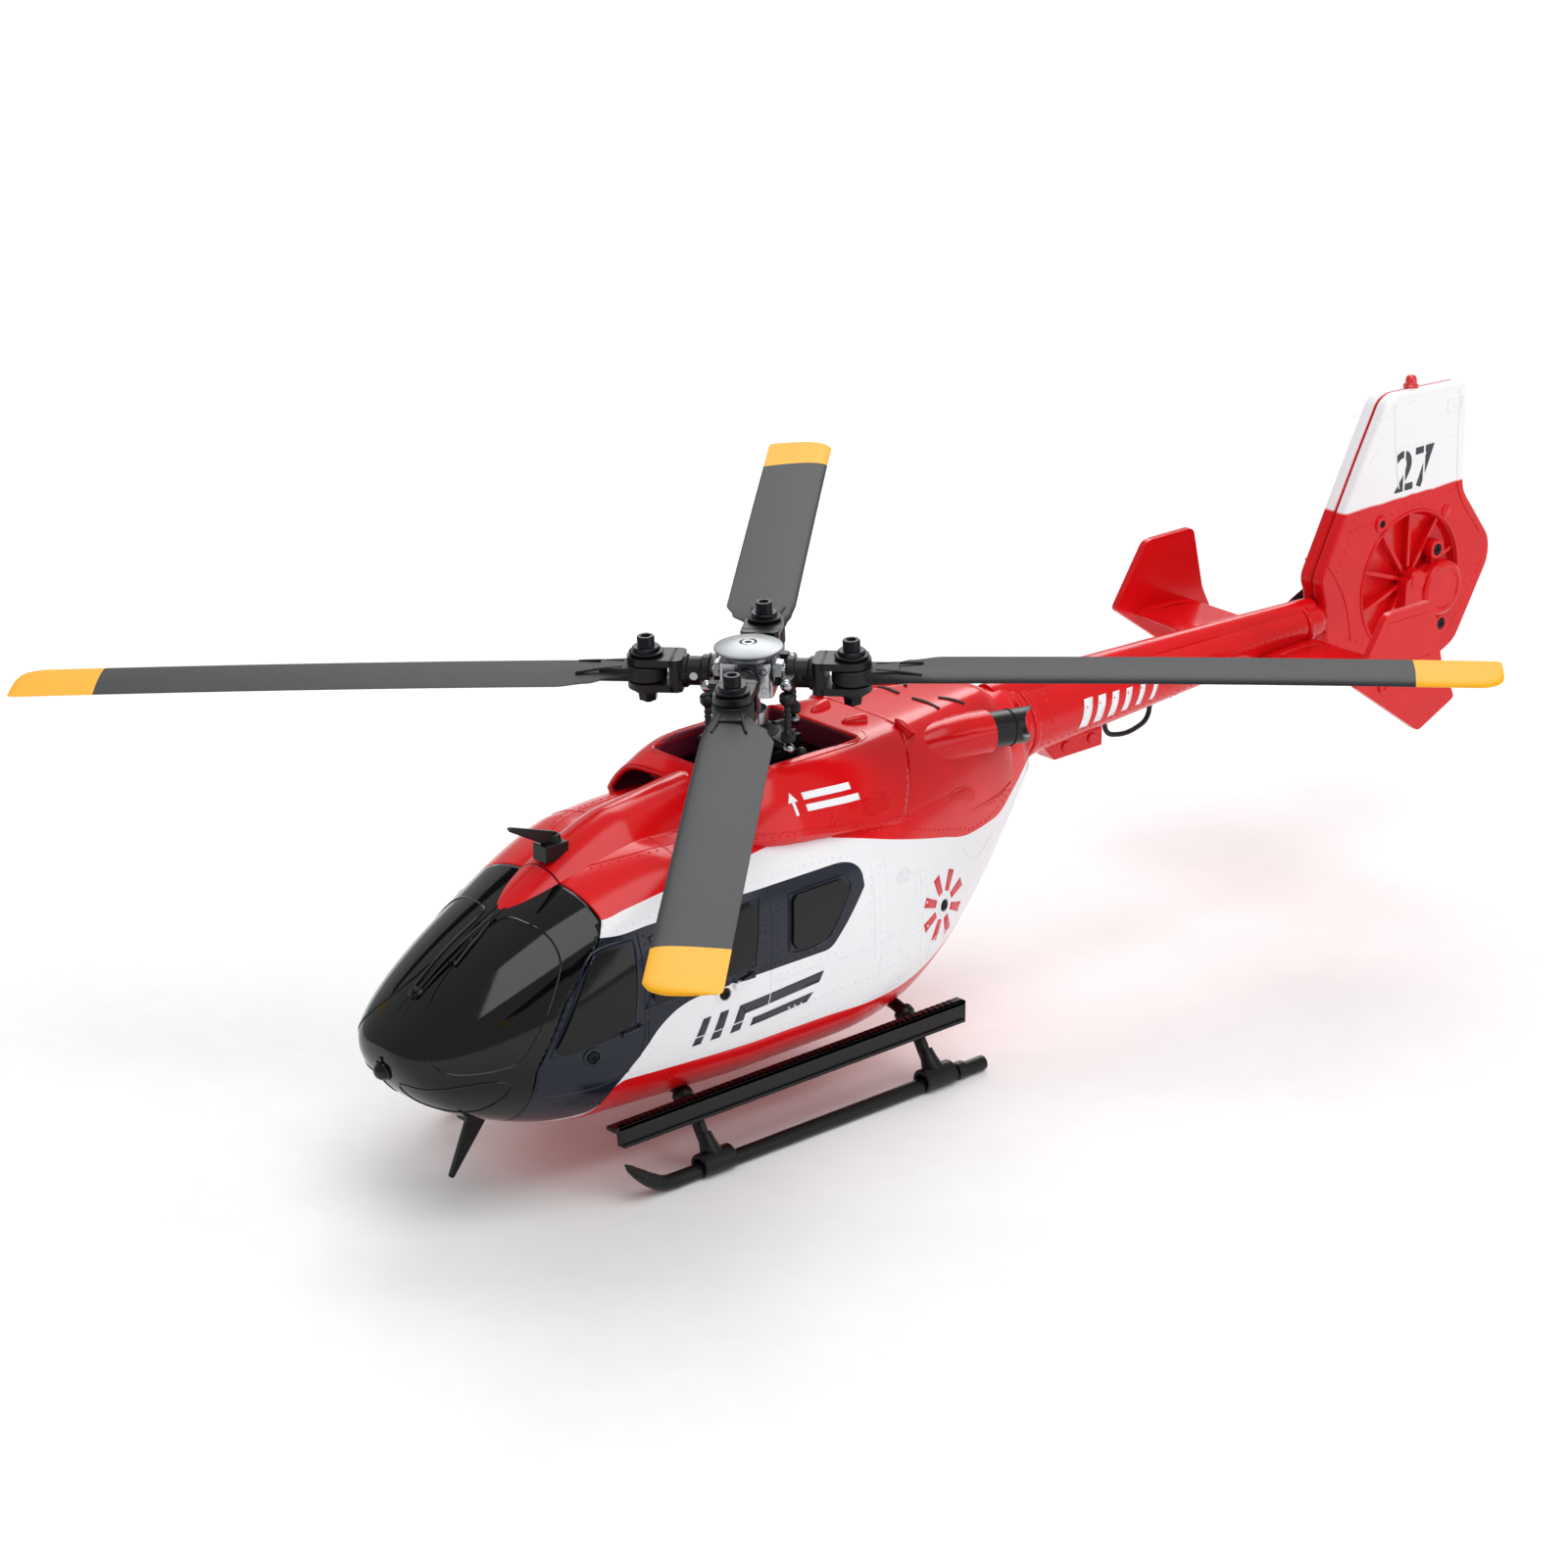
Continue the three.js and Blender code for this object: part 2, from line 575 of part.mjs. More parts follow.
function runningBoard(side) {
  const x = side * boardHalf;
  const web = plate([[boardFront, boardTop], [boardFront + 0.4, boardTop - boardHeight + 1.2],
    [boardFront + 1.8, boardTop - boardHeight], [boardRear, boardTop - boardHeight], [boardRear, boardTop]],
  x - 0.5, x + 0.5);
  const lip = side > 0
    ? block(x - 2, x + 0.5, boardFront - 1, boardRear, boardTop - 0.8, boardTop)
    : block(x - 0.5, x + 2, boardFront - 1, boardRear, boardTop - 0.8, boardTop);
  const notches = Object.values(strutYs).map((y) => crossTubePath(y, gap));
  return cut(join(web, lip), ...notches);
}

function crossTube(y) {
  const collars = [-1, 1].map((s) => cut(
    rod([s * skidHalf, y - 4, tubeZ], [s * skidHalf, y + 4, tubeZ], tubeR + gap + 0.6, tubeR + gap + 0.6, 16),
    rod([s * skidHalf, y - 5, tubeZ], [s * skidHalf, y + 5, tubeZ], tubeR + gap, tubeR + gap, 16),
    block(-far, far, -far, far, -far, tubeZ)));
  return join(crossTubePath(y, 0), ...collars);
}

// ---------- rotor head, in the mast's own frame: blade plane at z = 0 ----------
function hub() {
  const core = turned([[0, -4.6], [3.4, -4.6], [3.4, 4.3], [0, 4.3]]);
  const half = hubWidth / 2;
  const body = block(-half, half, -half, half, -hubHeight / 2, hubHeight / 2)
    .intersect(turned([[0, -4], [half * 1.22, -4], [half * 1.22, 4], [0, 4]]));
  const arms = Array.from({ length: bladeCount }, (_, i) => {
    const turn = (i * 360) / bladeCount;
    return join(rod([2, 0, 0], [12.4, 0, 0], spindleR, spindleR, 10), rod([5, 0, 0], [gripInner - gap, 0, 0], 2.6, 2.6, 6))
      .rotate([0, 0, turn]);
  });
  const bore = rod([0, 0, -6], [0, 0, 1 + gap], mastR + gap, mastR + gap, 12);
  return cut(join(core, body, ...arms), bore);
}

function hubCap() {
  const z = 4.3 + gap;
  const disc = turned([[0, z], [capR - 1, z], [capR, z + 0.5], [capR - 0.2, z + 0.9], [2, z + 1.7], [0, z + 1.7]], 24);
  return cut(disc, rod([0, 0, z + 0.7], [0, 0, z + 3], 1.3, 1.3, 6));
}

function grip() {
  const barrel = rod([gripInner, 0, 0], [13.4, 0, 0], gripR, gripR, 14);
  const neck = block(12, 15, -3.8, 3.8, -forkHeight / 2, forkHeight / 2);
  const fork = join(block(14, boltR, -3.8, 3.8, -forkHeight / 2, forkHeight / 2),
    rod([boltR, 0, -forkHeight / 2], [boltR, 0, forkHeight / 2], 3.8, 3.8, 16));
  const arm = block(pitchBallOut - 1.1, pitchBallOut + 1.1, -pitchArm + 0.4, -1.5, -1.3, 1.1);
  const pitchBall = ball(pitchBallOut, -pitchArm, 0, ballR);
  const slot = block(15.2, 30, -6, 6, -rootThick / 2 - gap, rootThick / 2 + gap);
  const bore = rod([gripInner - 1, 0, 0], [12.4 + gap, 0, 0], spindleR + gap, spindleR + gap, 10);
  const pin = rod([boltR, 0, -6], [boltR, 0, 6], boltShank + gap, boltShank + gap, 10);
  return cut(join(barrel, neck, fork, arm, pitchBall), slot, bore, pin);
}

function bladeBolt() {
  const face = forkHeight / 2 + gap;
  return turned([[0, -6.4], [1.75, -6.4], [1.75, -face], [boltShank, -face], [boltShank, face], [3.4, face],
    [3.4, face + 0.5], [2.7, face + 0.9], [2.7, face + 1.4], [1.6, face + 1.4], [1.6, face + 2.5], [0, face + 2.5]], 10)
    .translate([boltR, 0, 0]);
}

// Rings of the blade along its length: x from the bolt, leading edge, trailing edge and thickness.
function blade() {
  const tip = rotorR - boltR;
  const lead = -0.35 * chord;
  const trail = lead + chord;
  const stations = [[3, -3.2, 3.2, rootThick], [6.5, -3.8, 4.6, 2.7], [11, -4.5, 7.4, 2.3], [17, lead, trail, bladeThick],
    [tip - 4, lead, trail, bladeThick], [tip - 1.2, lead + 1.6, trail, bladeThick * 0.8],
    [tip, lead + 4.6, trail - 0.4, bladeThick * 0.5]];
  const wing = skin(stations.map(([x, y0, y1, thick]) => Array.from({ length: 10 }, (_, i) => {
    const a = (2 * Math.PI * i) / 10;
    const y = (y0 + y1) / 2 - ((y1 - y0) / 2) * Math.cos(a);
    const sag = bladeDroop * (x / tip) ** 2;
    return [x, y, (thick / 2) * Math.sin(a) * (0.62 + 0.38 * Math.cos(a)) * 1.15 - sag];
  })));
  const eye = rod([0, 0, -rootThick / 2], [0, 0, rootThick / 2], 4, 4, 16);
  const neck = block(0, 7, -3, 3, -rootThick / 2 + 0.1, rootThick / 2 - 0.1);
  return cut(join(wing, eye, neck), rod([0, 0, -3], [0, 0, 3], boltShank + gap, boltShank + gap, 10));
}

const ringThick = 2;
const hornReach = Math.hypot(pitchBallOut, pitchArm);
const hornTurn = THREE.MathUtils.radToDeg(Math.atan2(-pitchArm, pitchBallOut));

// The rotating ring with a ball horn under each pitch arm.
function swashUpper() {
  const z = -swashDrop;
  const ring = turned([[0, z], [7, z], [7, z + ringThick], [0, z + ringThick]], 16);
  const horns = Array.from({ length: bladeCount }, (_, i) => {
    const turn = (i * 360) / bladeCount + hornTurn + THREE.MathUtils.radToDeg(firstArm);
    return join(rod([5, 0, z + ringThick / 2], [hornReach, 0, z + ringThick / 2], 0.8, 0.8, 6),
      ball(hornReach, 0, z + ringThick / 2, ballR)).rotate([0, 0, turn]);
  });
  return cut(join(ring, ...horns), rod([0, 0, z - 1], [0, 0, z + 4], mastR + gap, mastR + gap, 12));
}

const lowerTop = -swashDrop - gap;
const guideY = 9.6; // where the guide pin meets its slot, behind the mast

function swashLower() {
  const z1 = lowerTop;
  const z0 = z1 - 2.4;
  const ring = turned([[0, z0], [7.6, z0], [7.6, z1], [0, z1]], 16);
  const pin = rod([0, 6, z0 + 0.9], [0, guideY + 1.6, z0 + 0.9], 0.8, 0.8, 12);
  const posts = servos.map((s) => rod([Math.sign(s.x) * 6.4, s.y > 0 ? 2.6 : -2.6, z0 + 1.2],
    [Math.sign(s.x) * 9.4, s.y > 0 ? 4 : -4.4, z0 + 1.2], 0.8, 0.8, 10));
  return cut(join(ring, pin, ...posts), rod([0, 0, z0 - 2], [0, 0, z1 + 2], mastR + gap, mastR + gap, 12));
}

// The fork that stops the lower ring from turning. It stands on the frame's bridge.
function guideFork() {
  const top = lowerTop - 0.3 - 0.6;
  const prong = (s) => block(Math.min(s * 1.2, s * 2.4), Math.max(s * 1.2, s * 2.4), guideY - 1.2, guideY + 1.2, -30, top);
  return join(prong(1), prong(-1), block(-2.4, 2.4, guideY - 1.2, guideY + 1.2, -35.5, -26));
}

function pitchLink() {
  const low = -swashDrop + ringThick / 2 + ballR + gap;
  const high = -ballR - gap - 0.1;
  return join(rod([0, 0, low], [0, 0, high], 0.6, 0.6, 8), rod([0, 0, low], [0, 0, low + 1.6], 1.3, 1.3, 8),
    rod([0, 0, high - 1.6], [0, 0, high], 1.3, 1.3, 8));
}

function servoHorn(s) {
  const x = s.x + Math.sign(s.x) * (s.name === 'servo_front' ? -1 : 1) * (2.6 + gap);
  const out = Math.sign(x - s.x) * 1.2;
  const z = servoTop - 11.6;
  return join(rod([x, s.y, z], [x + out, s.y, z], 1.6, 1.6, 14),
    block(Math.min(x, x + out), Math.max(x, x + out), s.y - 0.9, s.y + pitchArm, z - 0.8, z + 0.8));
}

// ---------- assembly ----------
function airframe() {
  const group = new THREE.Group();
  const add = (...args) => group.add(toMesh(...args));
  const shells = fuselage();
  const { tip, front, rear } = cowls();
  add('fuselage_left', shells.left, colours.white, 0.25);
  add('fuselage_right', shells.right, colours.white, 0.25);
  add('nose_canopy', shells.nose, colours.gloss, 0.08);
  add('nose_sensor', noseSensor(), colours.gloss, 0.1);
  add('ridge_tip', tip, colours.red, 0.22);
  add('front_cowl', front, colours.red, 0.22);
  add('rear_cowl', rear, colours.red, 0.22);
  add('exhaust_left', exhaustPipe(1), colours.gloss, 0.25);
  add('exhaust_right', exhaustPipe(-1), colours.gloss, 0.25);
  add('upper_wire_cutter', upperCutter(), colours.matt);
  add('lower_wire_cutter', lowerCutter(), colours.matt);
  add('main_frame', mainFrame(), colours.matt);
  add('main_motor', mainMotor(), colours.motor, 0.35, 0.7);
  add('battery', battery(), colours.cell);
  add('flight_board', flightBoard(), colours.board);
  add('tail_boom', tailBoom(), colours.red, 0.2);
  add('boom_clamp', boomClamp(), colours.red, 0.3);
  add('handle_rail', handleRail(), colours.matt);
  add('fin_left', finHalfShell(1), colours.red, 0.3);
  add('fin_right', finHalfShell(-1), colours.red, 0.3);
  add('beacon', beacon(), colours.lamp, 0.1);
  add('tail_motor', tailMotor(), colours.motor, 0.4, 0.6);
  add('tail_motor_cover', tailMotorCover(), colours.red, 0.35);
  add('tail_rotor', tailRotor(), colours.matt, 0.5);
  add('cross_tube_front', crossTube(strutYs.front), colours.matt, 0.35);
  add('cross_tube_rear', crossTube(strutYs.rear), colours.matt, 0.35);
  [['left', 1], ['right', -1]].forEach(([side, s]) => {
    add(`stabiliser_${side}`, stabiliserHalf(s), colours.red, 0.3);
    add(`skid_tube_${side}`, skidTube(s), colours.matt, 0.35);
    add(`running_board_${side}`, runningBoard(s), colours.matt, 0.4);
  });
  servos.forEach((s) => {
    add(s.name, servoBody(s), colours.matt);
    add(s.name.replace('servo', 'servo_horn'), servoHorn(s), colours.white, 0.5);
  });
  return group;
}

function rotorHead() {
  const group = new THREE.Group();
  const add = (...args) => group.add(toMesh(...args));
  add('mast', rod([0, 0, -mastLength], [0, 0, 1], mastR, mastR, 20), colours.silver, 0.3, 0.9);
  add('hub', hub().rotate([0, 0, THREE.MathUtils.radToDeg(firstArm)]), colours.silver, 0.35, 0.9);
  add('hub_cap', hubCap(), colours.silver, 0.3, 0.9);
  add('swash_upper', swashUpper(), colours.matt, 0.45);
  add('swash_lower', swashLower(), colours.matt, 0.45);
  add('guide_fork', guideFork(), colours.matt, 0.4);
  for (let i = 0; i < bladeCount; i += 1) {
    const arm = new THREE.Group();
    arm.rotation.z = firstArm + (i * 2 * Math.PI) / bladeCount;
    const link = toMesh(`pitch_link_${i + 1}`, pitchLink(), colours.matt, 0.45);
    link.position.set(pitchBallOut, -pitchArm, 0);
    const wing = toMesh(`blade_${i + 1}`, blade(), colours.blade, 0.6);
    wing.position.x = boltR;
    wing.rotation.z = bladeLag;
    arm.add(toMesh(`grip_${i + 1}`, grip(), colours.matt, 0.45),
      toMesh(`blade_bolt_${i + 1}`, bladeBolt(), colours.matt, 0.35, 0.4), link, wing);
    group.add(arm);
  }
  group.position.z = hubZ;
  group.rotation.x = mastTilt;
  return group;
}

// The origin is on the ground, midway along the model.
const model = new THREE.Group();
model.add(airframe(), rotorHead());
model.updateMatrixWorld(true);
const box = new THREE.Box3().setFromObject(model, true);
model.position.y = -(box.min.y + box.max.y) / 2;

export default model;
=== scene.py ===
import json
import math

import bmesh
import bpy
from mathutils import Matrix, Vector
from mathutils.bvhtree import BVHTree


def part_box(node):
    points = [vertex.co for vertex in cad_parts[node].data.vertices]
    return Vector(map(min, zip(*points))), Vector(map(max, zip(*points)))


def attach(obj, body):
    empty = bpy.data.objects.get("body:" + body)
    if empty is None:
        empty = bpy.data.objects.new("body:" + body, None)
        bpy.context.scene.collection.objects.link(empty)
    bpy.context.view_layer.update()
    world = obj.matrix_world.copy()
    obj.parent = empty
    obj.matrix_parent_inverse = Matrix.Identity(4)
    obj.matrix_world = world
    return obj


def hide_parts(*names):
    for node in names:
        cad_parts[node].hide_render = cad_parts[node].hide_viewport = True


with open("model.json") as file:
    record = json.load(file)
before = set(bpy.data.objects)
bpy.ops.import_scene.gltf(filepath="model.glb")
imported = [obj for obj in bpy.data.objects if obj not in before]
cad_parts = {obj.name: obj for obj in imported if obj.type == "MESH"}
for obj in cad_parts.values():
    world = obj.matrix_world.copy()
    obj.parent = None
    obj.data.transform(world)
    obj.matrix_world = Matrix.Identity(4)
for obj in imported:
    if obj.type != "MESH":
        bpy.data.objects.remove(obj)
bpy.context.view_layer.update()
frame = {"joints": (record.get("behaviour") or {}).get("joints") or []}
joints = {joint["name"]: joint for joint in frame["joints"]}

# Everything is modelled in millimetres with the mast at y = 0, and moved to the frame at the end.
hubPoint = Vector(joints["main_rotor_spin"]["pos_m"]) * 1000
mastAxis = Vector(joints["main_rotor_spin"]["axis"])
mastTilt = math.atan2(-mastAxis.y, mastAxis.z)
mastY = hubPoint.y
toRow = Matrix.Scale(0.001, 4) @ Matrix.Translation((0, mastY, 0))
headFrame = Matrix.Translation((0, 0, hubPoint.z)) @ Matrix.Rotation(mastTilt, 4, "X")
arms = [math.atan2(joints[f"blade_pitch_{k}"]["axis"][1] / math.cos(mastTilt),
                   joints[f"blade_pitch_{k}"]["axis"][0])
        for k in (1, 2, 3, 4)]
bothSides = ((1, "left"), (-1, "right"))
highZ, down = 120, Vector((0, 0, -1))  # rays cast from above the model


def cadSpan(node):
    # a CAD node's box in millimetres, mast at y = 0
    low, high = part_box(node)
    shift = Vector((0, mastY, 0))
    return low * 1000 - shift, high * 1000 - shift


def srgb(code):
    parts = [int(code[i:i + 2], 16) / 255 for i in (1, 3, 5)]
    return tuple(p / 12.92 if p <= 0.04045 else ((p + 0.055) / 1.055) ** 2.4 for p in parts) + (1,)


def addNode(tree, kind, settings=None, links=None):
    node = tree.nodes.new(kind)
    for key, value in (settings or {}).items():
        if isinstance(key, str) and hasattr(node, key):
            setattr(node, key, value)
        else:
            node.inputs[key].default_value = value
    for key, socket in (links or {}).items():
        tree.links.new(socket, node.inputs[key])
    return node


def startMaterial(name, colour, roughness, metallic=0.0, coat=0.0, specular=0.5):
    material = bpy.data.materials.new(name)
    material.use_nodes = True
    tree = material.node_tree
    shader = tree.nodes["Principled BSDF"]
    shader.inputs["Base Color"].default_value = srgb(colour)
    shader.inputs["Roughness"].default_value = roughness
    shader.inputs["Metallic"].default_value = metallic
    shader.inputs["Coat Weight"].default_value = coat
    shader.inputs["Coat Roughness"].default_value = 0.06
    if not metallic:
        shader.inputs["Specular IOR Level"].default_value = specular
    place = addNode(tree, "ShaderNodeTexCoord")
    return material, tree, shader, place.outputs["Object"]


def addGrain(tree, shader, place, grain, height, roughLow, roughHigh, stretch=(1, 1, 1)):
    # grain is the real spacing of the surface texture in millimetres
    turned = addNode(tree, "ShaderNodeMapping", {"Scale": stretch}, {"Vector": place})
    noise = addNode(tree, "ShaderNodeTexNoise", {"Scale": 1000 / grain, "Detail": 3.0},
                    {"Vector": turned.outputs["Vector"]})
    spread = addNode(tree, "ShaderNodeMapRange", {"To Min": roughLow, "To Max": roughHigh},
                     {"Value": noise.outputs["Fac"]})
    tree.links.new(spread.outputs["Result"], shader.inputs["Roughness"])
    bump = addNode(tree, "ShaderNodeBump", {"Strength": 0.5, "Distance": height / 1000},
                   {"Height": noise.outputs["Fac"]})
    tree.links.new(bump.outputs["Normal"], shader.inputs["Normal"])
    return noise.outputs["Fac"]


def mottle(tree, shader, place, dark, light, patch):
    # slow drift of the moulded colour over patch millimetres
    noise = addNode(tree, "ShaderNodeTexNoise", {"Scale": 1000 / patch, "Detail": 2.0}, {"Vector": place})
    mix = addNode(tree, "ShaderNodeMix", {"data_type": "RGBA"}, {"Factor": noise.outputs["Fac"]})
    mix.inputs[6].default_value = srgb(dark)
    mix.inputs[7].default_value = srgb(light)
    tree.links.new(mix.outputs[2], shader.inputs["Base Color"])
    return mix


def overpaint(tree, shader, base, factor, colour):
    # a second colour over base wherever the factor is 1
    mix = addNode(tree, "ShaderNodeMix", {"data_type": "RGBA"}, {"Factor": factor})
    tree.links.new(base.outputs[2], mix.inputs[6])
    mix.inputs[7].default_value = srgb(colour)
    tree.links.new(mix.outputs[2], shader.inputs["Base Color"])
    return mix


def grainedMaterial(name, dark, light, grain, height, roughLow, roughHigh, metallic=0.0, coat=0.0, patch=9.0,
                    stretch=(1, 1, 1), specular=0.5):
    material, tree, shader, place = startMaterial(name, light, roughLow, metallic, coat, specular)
    addGrain(tree, shader, place, grain, height, roughLow, roughHigh, stretch)
    mottle(tree, shader, place, dark, light, patch)
    return material


# Sprayed lacquer over ABS: wet gloss with a faint orange peel.
redLacquer = grainedMaterial("red lacquer on ABS", "#cb0a10", "#dc0f15", 1.4, 0.006, 0.15, 0.21, coat=0.06,
                             specular=0.28)
# The same ABS from inside the cowl, the ridge and the mast well: a dull plum red that is painted shade of the red in
# these recesses.
shadedRedInside = grainedMaterial("plum red ABS with painted shade, inside", "#6d1230", "#8d1d3d", 0.6, 0.02, 0.5, 0.65)
# Polished black ABS of the nose: almost a mirror.
pianoBlack = grainedMaterial("polished black ABS", "#030304", "#060607", 2.2, 0.003, 0.05, 0.1, coat=0.12,
                             specular=0.3)
# Window inserts: black with a slightly softer gloss.
windowBlack = grainedMaterial("tinted window insert", "#050506", "#0a0a0b", 1.8, 0.003, 0.07, 0.14,
                              specular=0.3)
# Glass-filled nylon of the rotor head: dark, eggshell, finely pitted by the mould.
nylonBlack = grainedMaterial("glass-filled nylon", "#0b0b0c", "#151517", 0.25, 0.008, 0.34, 0.46,
                             specular=0.3)
# Satin ABS of skids and boards: soft highlights along the edges.
satinBlack = grainedMaterial("satin black ABS", "#070708", "#0e0e10", 0.5, 0.004, 0.26, 0.36, specular=0.3)
# Raw ABS behind the paint: dull near-black with no gloss. The deck slots use it too, as painted shade in their
# openings.
innerBlack = grainedMaterial("raw ABS, inside", "#17171a", "#222226", 0.5, 0.01, 0.5, 0.6)
# Milled aluminium of the hub: bright, with a fine tool grain.
machinedAluminium = grainedMaterial("machined aluminium", "#9fa1a5", "#b9bbbf", 0.35, 0.006, 0.2, 0.34,
                                    metallic=1.0)
# Bead-blasted aluminium of the hub's disc: a soft grey sheen, drawn coarser than the real blast to show.
frostedAluminium = grainedMaterial("bead-blasted aluminium", "#8e9092", "#a0a2a4", 0.14, 0.006, 0.36, 0.46,
                                   metallic=0.9)
# Centreless-ground steel of mast, balls and nuts: clean and bright.
groundSteel = grainedMaterial("ground steel", "#8f9296", "#b1b4b8", 0.3, 0.004, 0.18, 0.28, metallic=1.0)
# Black-oxide steel of screws and bolts: dark metal with a dim glint.
blackenedSteel = grainedMaterial("blackened steel", "#1b1c1f", "#2b2c30", 0.2, 0.004, 0.3, 0.42, metallic=0.9)
# Anodised motor can: charcoal with a metal edge.
motorCan = grainedMaterial("anodised motor can", "#3b3d42", "#54565c", 0.3, 0.004, 0.28, 0.4, metallic=0.9)
# PVC shrunk round the cells: blue, shiny and slightly wavy.
batteryWrap = grainedMaterial("shrink wrap", "#1d2f6b", "#26408f", 3.0, 0.02, 0.22, 0.34)
# Woven glass-cloth tape: tan and dry.
kraftTape = grainedMaterial("glass cloth tape", "#b78a2c", "#d0a23c", 0.4, 0.02, 0.4, 0.5)
# Solder mask over copper: deep green with a clear-varnish gloss.
boardGreen = grainedMaterial("solder-masked board", "#0b3a1c", "#115229", 0.8, 0.006, 0.25, 0.35)
# Moulded epoxy of the chips: flat dark grey.
chipBlack = grainedMaterial("epoxy chip package", "#141416", "#1d1d20", 0.2, 0.004, 0.45, 0.55)
# Open-cell sponge: no gloss at all.
foamGrey = grainedMaterial("sponge pad", "#3b3d40", "#55585c", 0.5, 0.1, 0.85, 0.95)
# Undyed nylon of the servo horns: milky white.
hornWhite = grainedMaterial("natural nylon", "#d9d7cf", "#e8e6de", 0.3, 0.005, 0.38, 0.48)
# Clear red acrylic of the beacon: glassy under a strong coat.
lampRed = grainedMaterial("clear red acrylic", "#c80f16", "#e3222a", 1.5, 0.003, 0.06, 0.12, coat=0.6)
# Printed vinyl film of the decals: a thin satin skin in three colours.
decalDark = grainedMaterial("dark decal film", "#23252c", "#2d3038", 0.6, 0.003, 0.28, 0.36)
decalWhite = grainedMaterial("white decal film", "#ededf0", "#f6f6f8", 0.6, 0.003, 0.28, 0.36)
decalRed = grainedMaterial("red decal film", "#d32a3a", "#e03a49", 0.6, 0.003, 0.28, 0.36)
print("materials ready")


def makePiece(bm, name, body, materials, place=None, sharp=38, replaces=()):
    if place is not None:
        bmesh.ops.transform(bm, matrix=place, verts=bm.verts)
    bmesh.ops.transform(bm, matrix=toRow, verts=bm.verts)
    limit = math.radians(sharp)
    for face in bm.faces:
        face.smooth = True
    for edge in bm.edges:
        if len(edge.link_faces) == 2 and edge.calc_face_angle() > limit:
            edge.smooth = False
    mesh = bpy.data.meshes.new(name)
    bm.to_mesh(mesh)
    bm.free()
    for material in materials if isinstance(materials, (list, tuple)) else [materials]:
        mesh.materials.append(material)
    piece = bpy.data.objects.new(name, mesh)
    bpy.context.scene.collection.objects.link(piece)
    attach(piece, body)
    if replaces:
        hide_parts(*replaces)
    return piece


def addWall(piece, thickness, inner=0, offset=-1, rim=None):
    wall = piece.modifiers.new("wall", "SOLIDIFY")
    wall.thickness = thickness / 1000
    wall.offset = offset
    wall.material_offset = inner
    wall.material_offset_rim = inner if rim is None else rim
    return piece


def addBevel(piece, width, segments=2, angle=32):
    bevel = piece.modifiers.new("edges", "BEVEL")
    bevel.width = width / 1000
    bevel.segments = segments
    bevel.limit_method = "ANGLE"
    bevel.angle_limit = math.radians(angle)
    bevel.harden_normals = True
    return piece


def addFrom(bm, other, place=None):
    # moves the other bmesh's faces into bm
    if place is not None:
        bmesh.ops.transform(other, matrix=place, verts=other.verts)
    mesh = bpy.data.meshes.new("part")
    other.to_mesh(mesh)
    other.free()
    bm.from_mesh(mesh)
    bpy.data.meshes.remove(mesh)
    return bm


def sheet(columns, rows, shape):
    # a grid bent by shape(u, w), with its doubled seam and poles merged
    bm = bmesh.new()
    bmesh.ops.create_grid(bm, x_segments=columns, y_segments=rows, size=1)
    for v in bm.verts:
        v.co = shape((v.co.x + 1) / 2, (v.co.y + 1) / 2)
    bmesh.ops.remove_doubles(bm, verts=bm.verts, dist=0.004)
    bmesh.ops.dissolve_degenerate(bm, dist=0.001, edges=bm.edges)
    bmesh.ops.recalc_face_normals(bm, faces=bm.faces)
    return bm


def faceUp(bm):
    bm.normal_update()
    if sum(f.normal.z for f in bm.faces) < 0:
        bmesh.ops.reverse_faces(bm, faces=bm.faces)


def cutPlane(bm, point, normal, drop=False):
    bmesh.ops.bisect_plane(bm, geom=bm.verts[:] + bm.edges[:] + bm.faces[:], dist=1e-4,
                           plane_co=point, plane_no=normal, clear_outer=drop)


def dropFaces(bm, test):
    gone = [f for f in bm.faces if test(f.calc_center_median())]
    bmesh.ops.delete(bm, geom=gone, context="FACES")


def openBox(bm, low, high):
    # opens a rectangular hole through the faces inside the box
    for axis in range(3):
        for value in (low[axis], high[axis]):
            if value is not None:
                normal = Vector((0, 0, 0))
                normal[axis] = 1
                cutPlane(bm, normal * value, normal)
    dropFaces(bm, lambda c: all((a is None or c[i] > a) and (b is None or c[i] < b)
                                for i, (a, b) in enumerate(zip(low, high))))


def rodBetween(bm, start, end, r0, r1=None, sides=32):
    start, end = Vector(start), Vector(end)
    along = end - start
    bmesh.ops.create_cone(bm, cap_ends=True, segments=sides, radius1=r0, radius2=r0 if r1 is None else r1,
                          depth=along.length, matrix=facing((start + end) / 2, along))
    return bm


def addBoxes(bm, *spans):
    # each span is two opposite corners, in either order
    for span in spans:
        low, high = (Vector(map(pick, *span)) for pick in (min, max))
        place = Matrix.Translation((low + high) / 2) @ Matrix.Diagonal((*(high - low), 1))
        bmesh.ops.create_cube(bm, size=1, matrix=place)
    return bm


def addBall(bm, place, radius, segments=24, rings=14):
    bmesh.ops.create_uvsphere(bm, u_segments=segments, v_segments=rings, radius=radius,
                              matrix=Matrix.Translation(place))


def facing(place, normal):
    return Matrix.Translation(place) @ Vector(normal).to_track_quat("Z", "Y").to_matrix().to_4x4()


def turnedTo(axis, place=(0, 0, 0), angle=math.pi / 2):
    return Matrix.Translation(place) @ Matrix.Rotation(angle, 4, axis)


